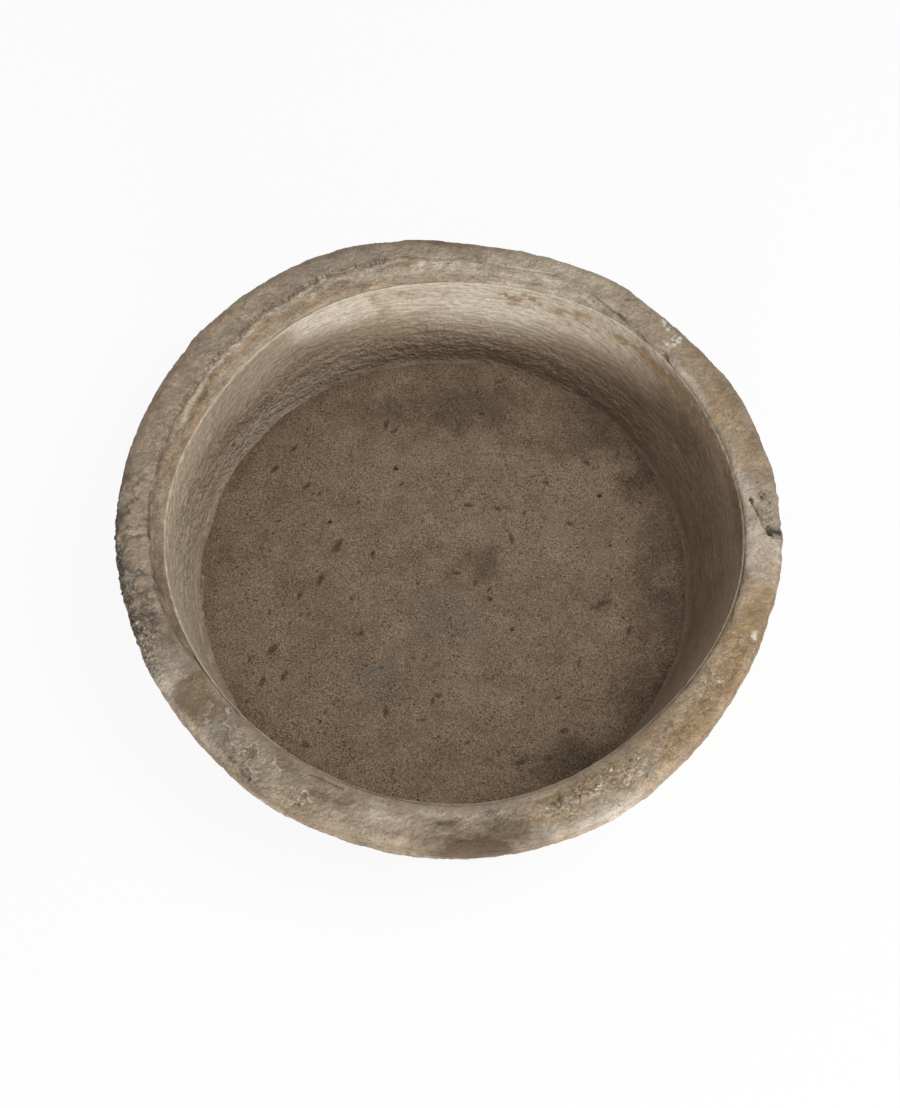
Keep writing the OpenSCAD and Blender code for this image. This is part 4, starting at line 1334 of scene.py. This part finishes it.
mottle = put("MapRange", spread(tone, 0.25, 0.75, 1.22, 0.78))
colour = put("VectorMath", {0: colour, 3: mottle}, operation="SCALE")
colour = layered(put, colour, ((put("MapRange", spread(grain, 0.40, 0.26, 0.4)), "#63533F"),))
domes = put("TexVoronoi", {"Vector": where, "Scale": 1.0 / (4.2 * MM)}, "Distance")
domes = put("Math", {0: put("MapRange", spread(domes, 0.0, 0.55, 0.0, 1.0)), 1: gritty}, operation="MULTIPLY")
dots = put("Math", {0: dots, 1: gritty}, operation="MULTIPLY")
height = put("Math", {0: ripple, 1: 0.9}, operation="MULTIPLY")
for form, weight in ((drawn, 0.4), (dots, 1.0), (domes, 0.5)):
    height = put("Math", {0: form, 1: weight, 2: height}, operation="MULTIPLY_ADD")
finish(put, shader, colour, height, 3.0)
bead_ridge.data.materials.append(coat_lime)
coat_wall.data.materials.append(coat_lime)

# %% [markdown]
# ### Sandy screed
# Sand of one to two mm, tamped level, most of it buff with dark grains strewn in. Seen from the camera a
# grain is about as wide as a dot of the picture, so the finest noise layers stand for the grains. It gives
# the eye a dry, crumbly ground with no shine at all.

# %% Screed
screed, put, shader, where = start_material("sandy_screed_tamped", 0.93)
clouds, tone, specks, strewn, tooth = [put("TexNoise", waves(where, *layer)) for layer in (
    (34, 6.0, 0.7), (1.6, 1.0, 1.0), (1.9, 0.6, 0.8), (26, 4.0, 0.8), (2.8, 1.5, 0.9))]
# The damp layer is partly painted shadow of the walls on the bed
colour = layered(put, "#76614C", (
    (put("MapRange", spread(clouds, 0.34, 0.69)), "#8D7A64"), ("light", "#8F7C65", 0.5),
    ("ash", "#6F685C", 0.6), ("damp", "#4E4132", 0.75), ("dents", "#443727", 0.8), ("holes", "#241D15", 1.0)))
grains = put("MapRange", spread(tone, 0.25, 0.75, 1.7, 0.3))
colour = put("VectorMath", {0: colour, 3: grains}, operation="SCALE")
dark_grains = put("Math", {0: put("MapRange", spread(specks, 0.41, 0.31)),
                           1: put("MapRange", spread(strewn, 0.42, 0.62, 1.0, 0.25))}, operation="MULTIPLY")
pale_grains = put("MapRange", spread(specks, 0.64, 0.78, 0.5))
colour = layered(put, colour, ((dark_grains, "#33291F"), (pale_grains, "#B6A48B")))
finish(put, shader, colour, tooth, 1.6)
sand_bed.data.materials.append(screed)

# %% [markdown]
# ## Floor, background and light
# The planter stands on a white floor in an all white room. To the camera, floor and room are plain
# white, and the floor keeps a soft shadow. A large soft lamp stands high on the right, and a low, broad
# one in front shines under the far bead, so that the back wall glows along its top.

# %% White floor
FLOOR_GLOW = 0.9
floor_material = bpy.data.materials.new("white_floor")
floor_material.use_nodes = True
tree = floor_material.node_tree
floor_shader = tree.nodes["Principled BSDF"]
floor_shader.inputs["Base Color"].default_value = linear("#F4F4F4")
floor_shader.inputs["Roughness"].default_value = 0.9
camera_ray = add(tree, "LightPath", out="Is Camera Ray")
glow = add(tree, "Emission", {"Color": "#FFFFFF", "Strength": 1.0})
seen = add(tree, "Math", {0: camera_ray, 1: FLOOR_GLOW}, operation="MULTIPLY")
mixed = add(tree, "MixShader", {0: seen, 1: floor_shader.outputs[0], 2: glow})
tree.links.new(mixed, tree.nodes["Material Output"].inputs["Surface"])
bpy.ops.mesh.primitive_plane_add(size=8.0, location=(0, 0, 0))
studio_floor = bpy.context.object
studio_floor.name = "studio_floor"
studio_floor.data.materials.append(floor_material)

# %% World
FILL = 0.42
world = bpy.data.worlds.new("white_room")
scene.world = world
world.use_nodes = True
tree = world.node_tree
shown = add(tree, "LightPath", out="Is Camera Ray")
rays = shown.node.outputs
for other in ("Is Glossy Ray", "Is Transmission Ray"):
    shown = add(tree, "Math", {0: shown, 1: rays[other]}, operation="MAXIMUM")
strength = add(tree, "MapRange", {0: shown, 1: 0.0, 2: 1.0, 3: FILL, 4: 1.0})
background = tree.nodes["Background"]
background.inputs["Color"].default_value = (1, 1, 1, 1)
tree.links.new(strength, background.inputs["Strength"])


# %% Lamps
def soft_lamp(name, azimuth, elevation, distance, width, height, share):
    """A soft box aimed at the rim's centre. share is the brightness it gives a white sheet that faces it."""
    data = bpy.data.lights.new(name, "AREA")
    data.shape = "RECTANGLE"
    data.size, data.size_y = width, height
    data.energy = share * math.pi ** 2 * distance ** 2
    lamp = bpy.data.objects.new(name, data)
    scene.collection.objects.link(lamp)
    a, e = math.radians(azimuth), math.radians(elevation)
    lamp.location = RIM_CENTRE + distance * Vector(
        (math.cos(a) * math.cos(e), math.sin(a) * math.cos(e), math.sin(e)))
    lamp.rotation_euler = (RIM_CENTRE - lamp.location).to_track_quat("-Z", "Y").to_euler()
    print(name, round(data.energy, 1), "W")
    return lamp


soft_lamp("high_lamp", -12, 62, 2.6, 1.2, 1.2, 0.50)
soft_lamp("low_lamp", -84, 8.1, 3.0, 1.3, 0.28, 0.75)

# %% View settings
scene.view_settings.view_transform = "Standard"
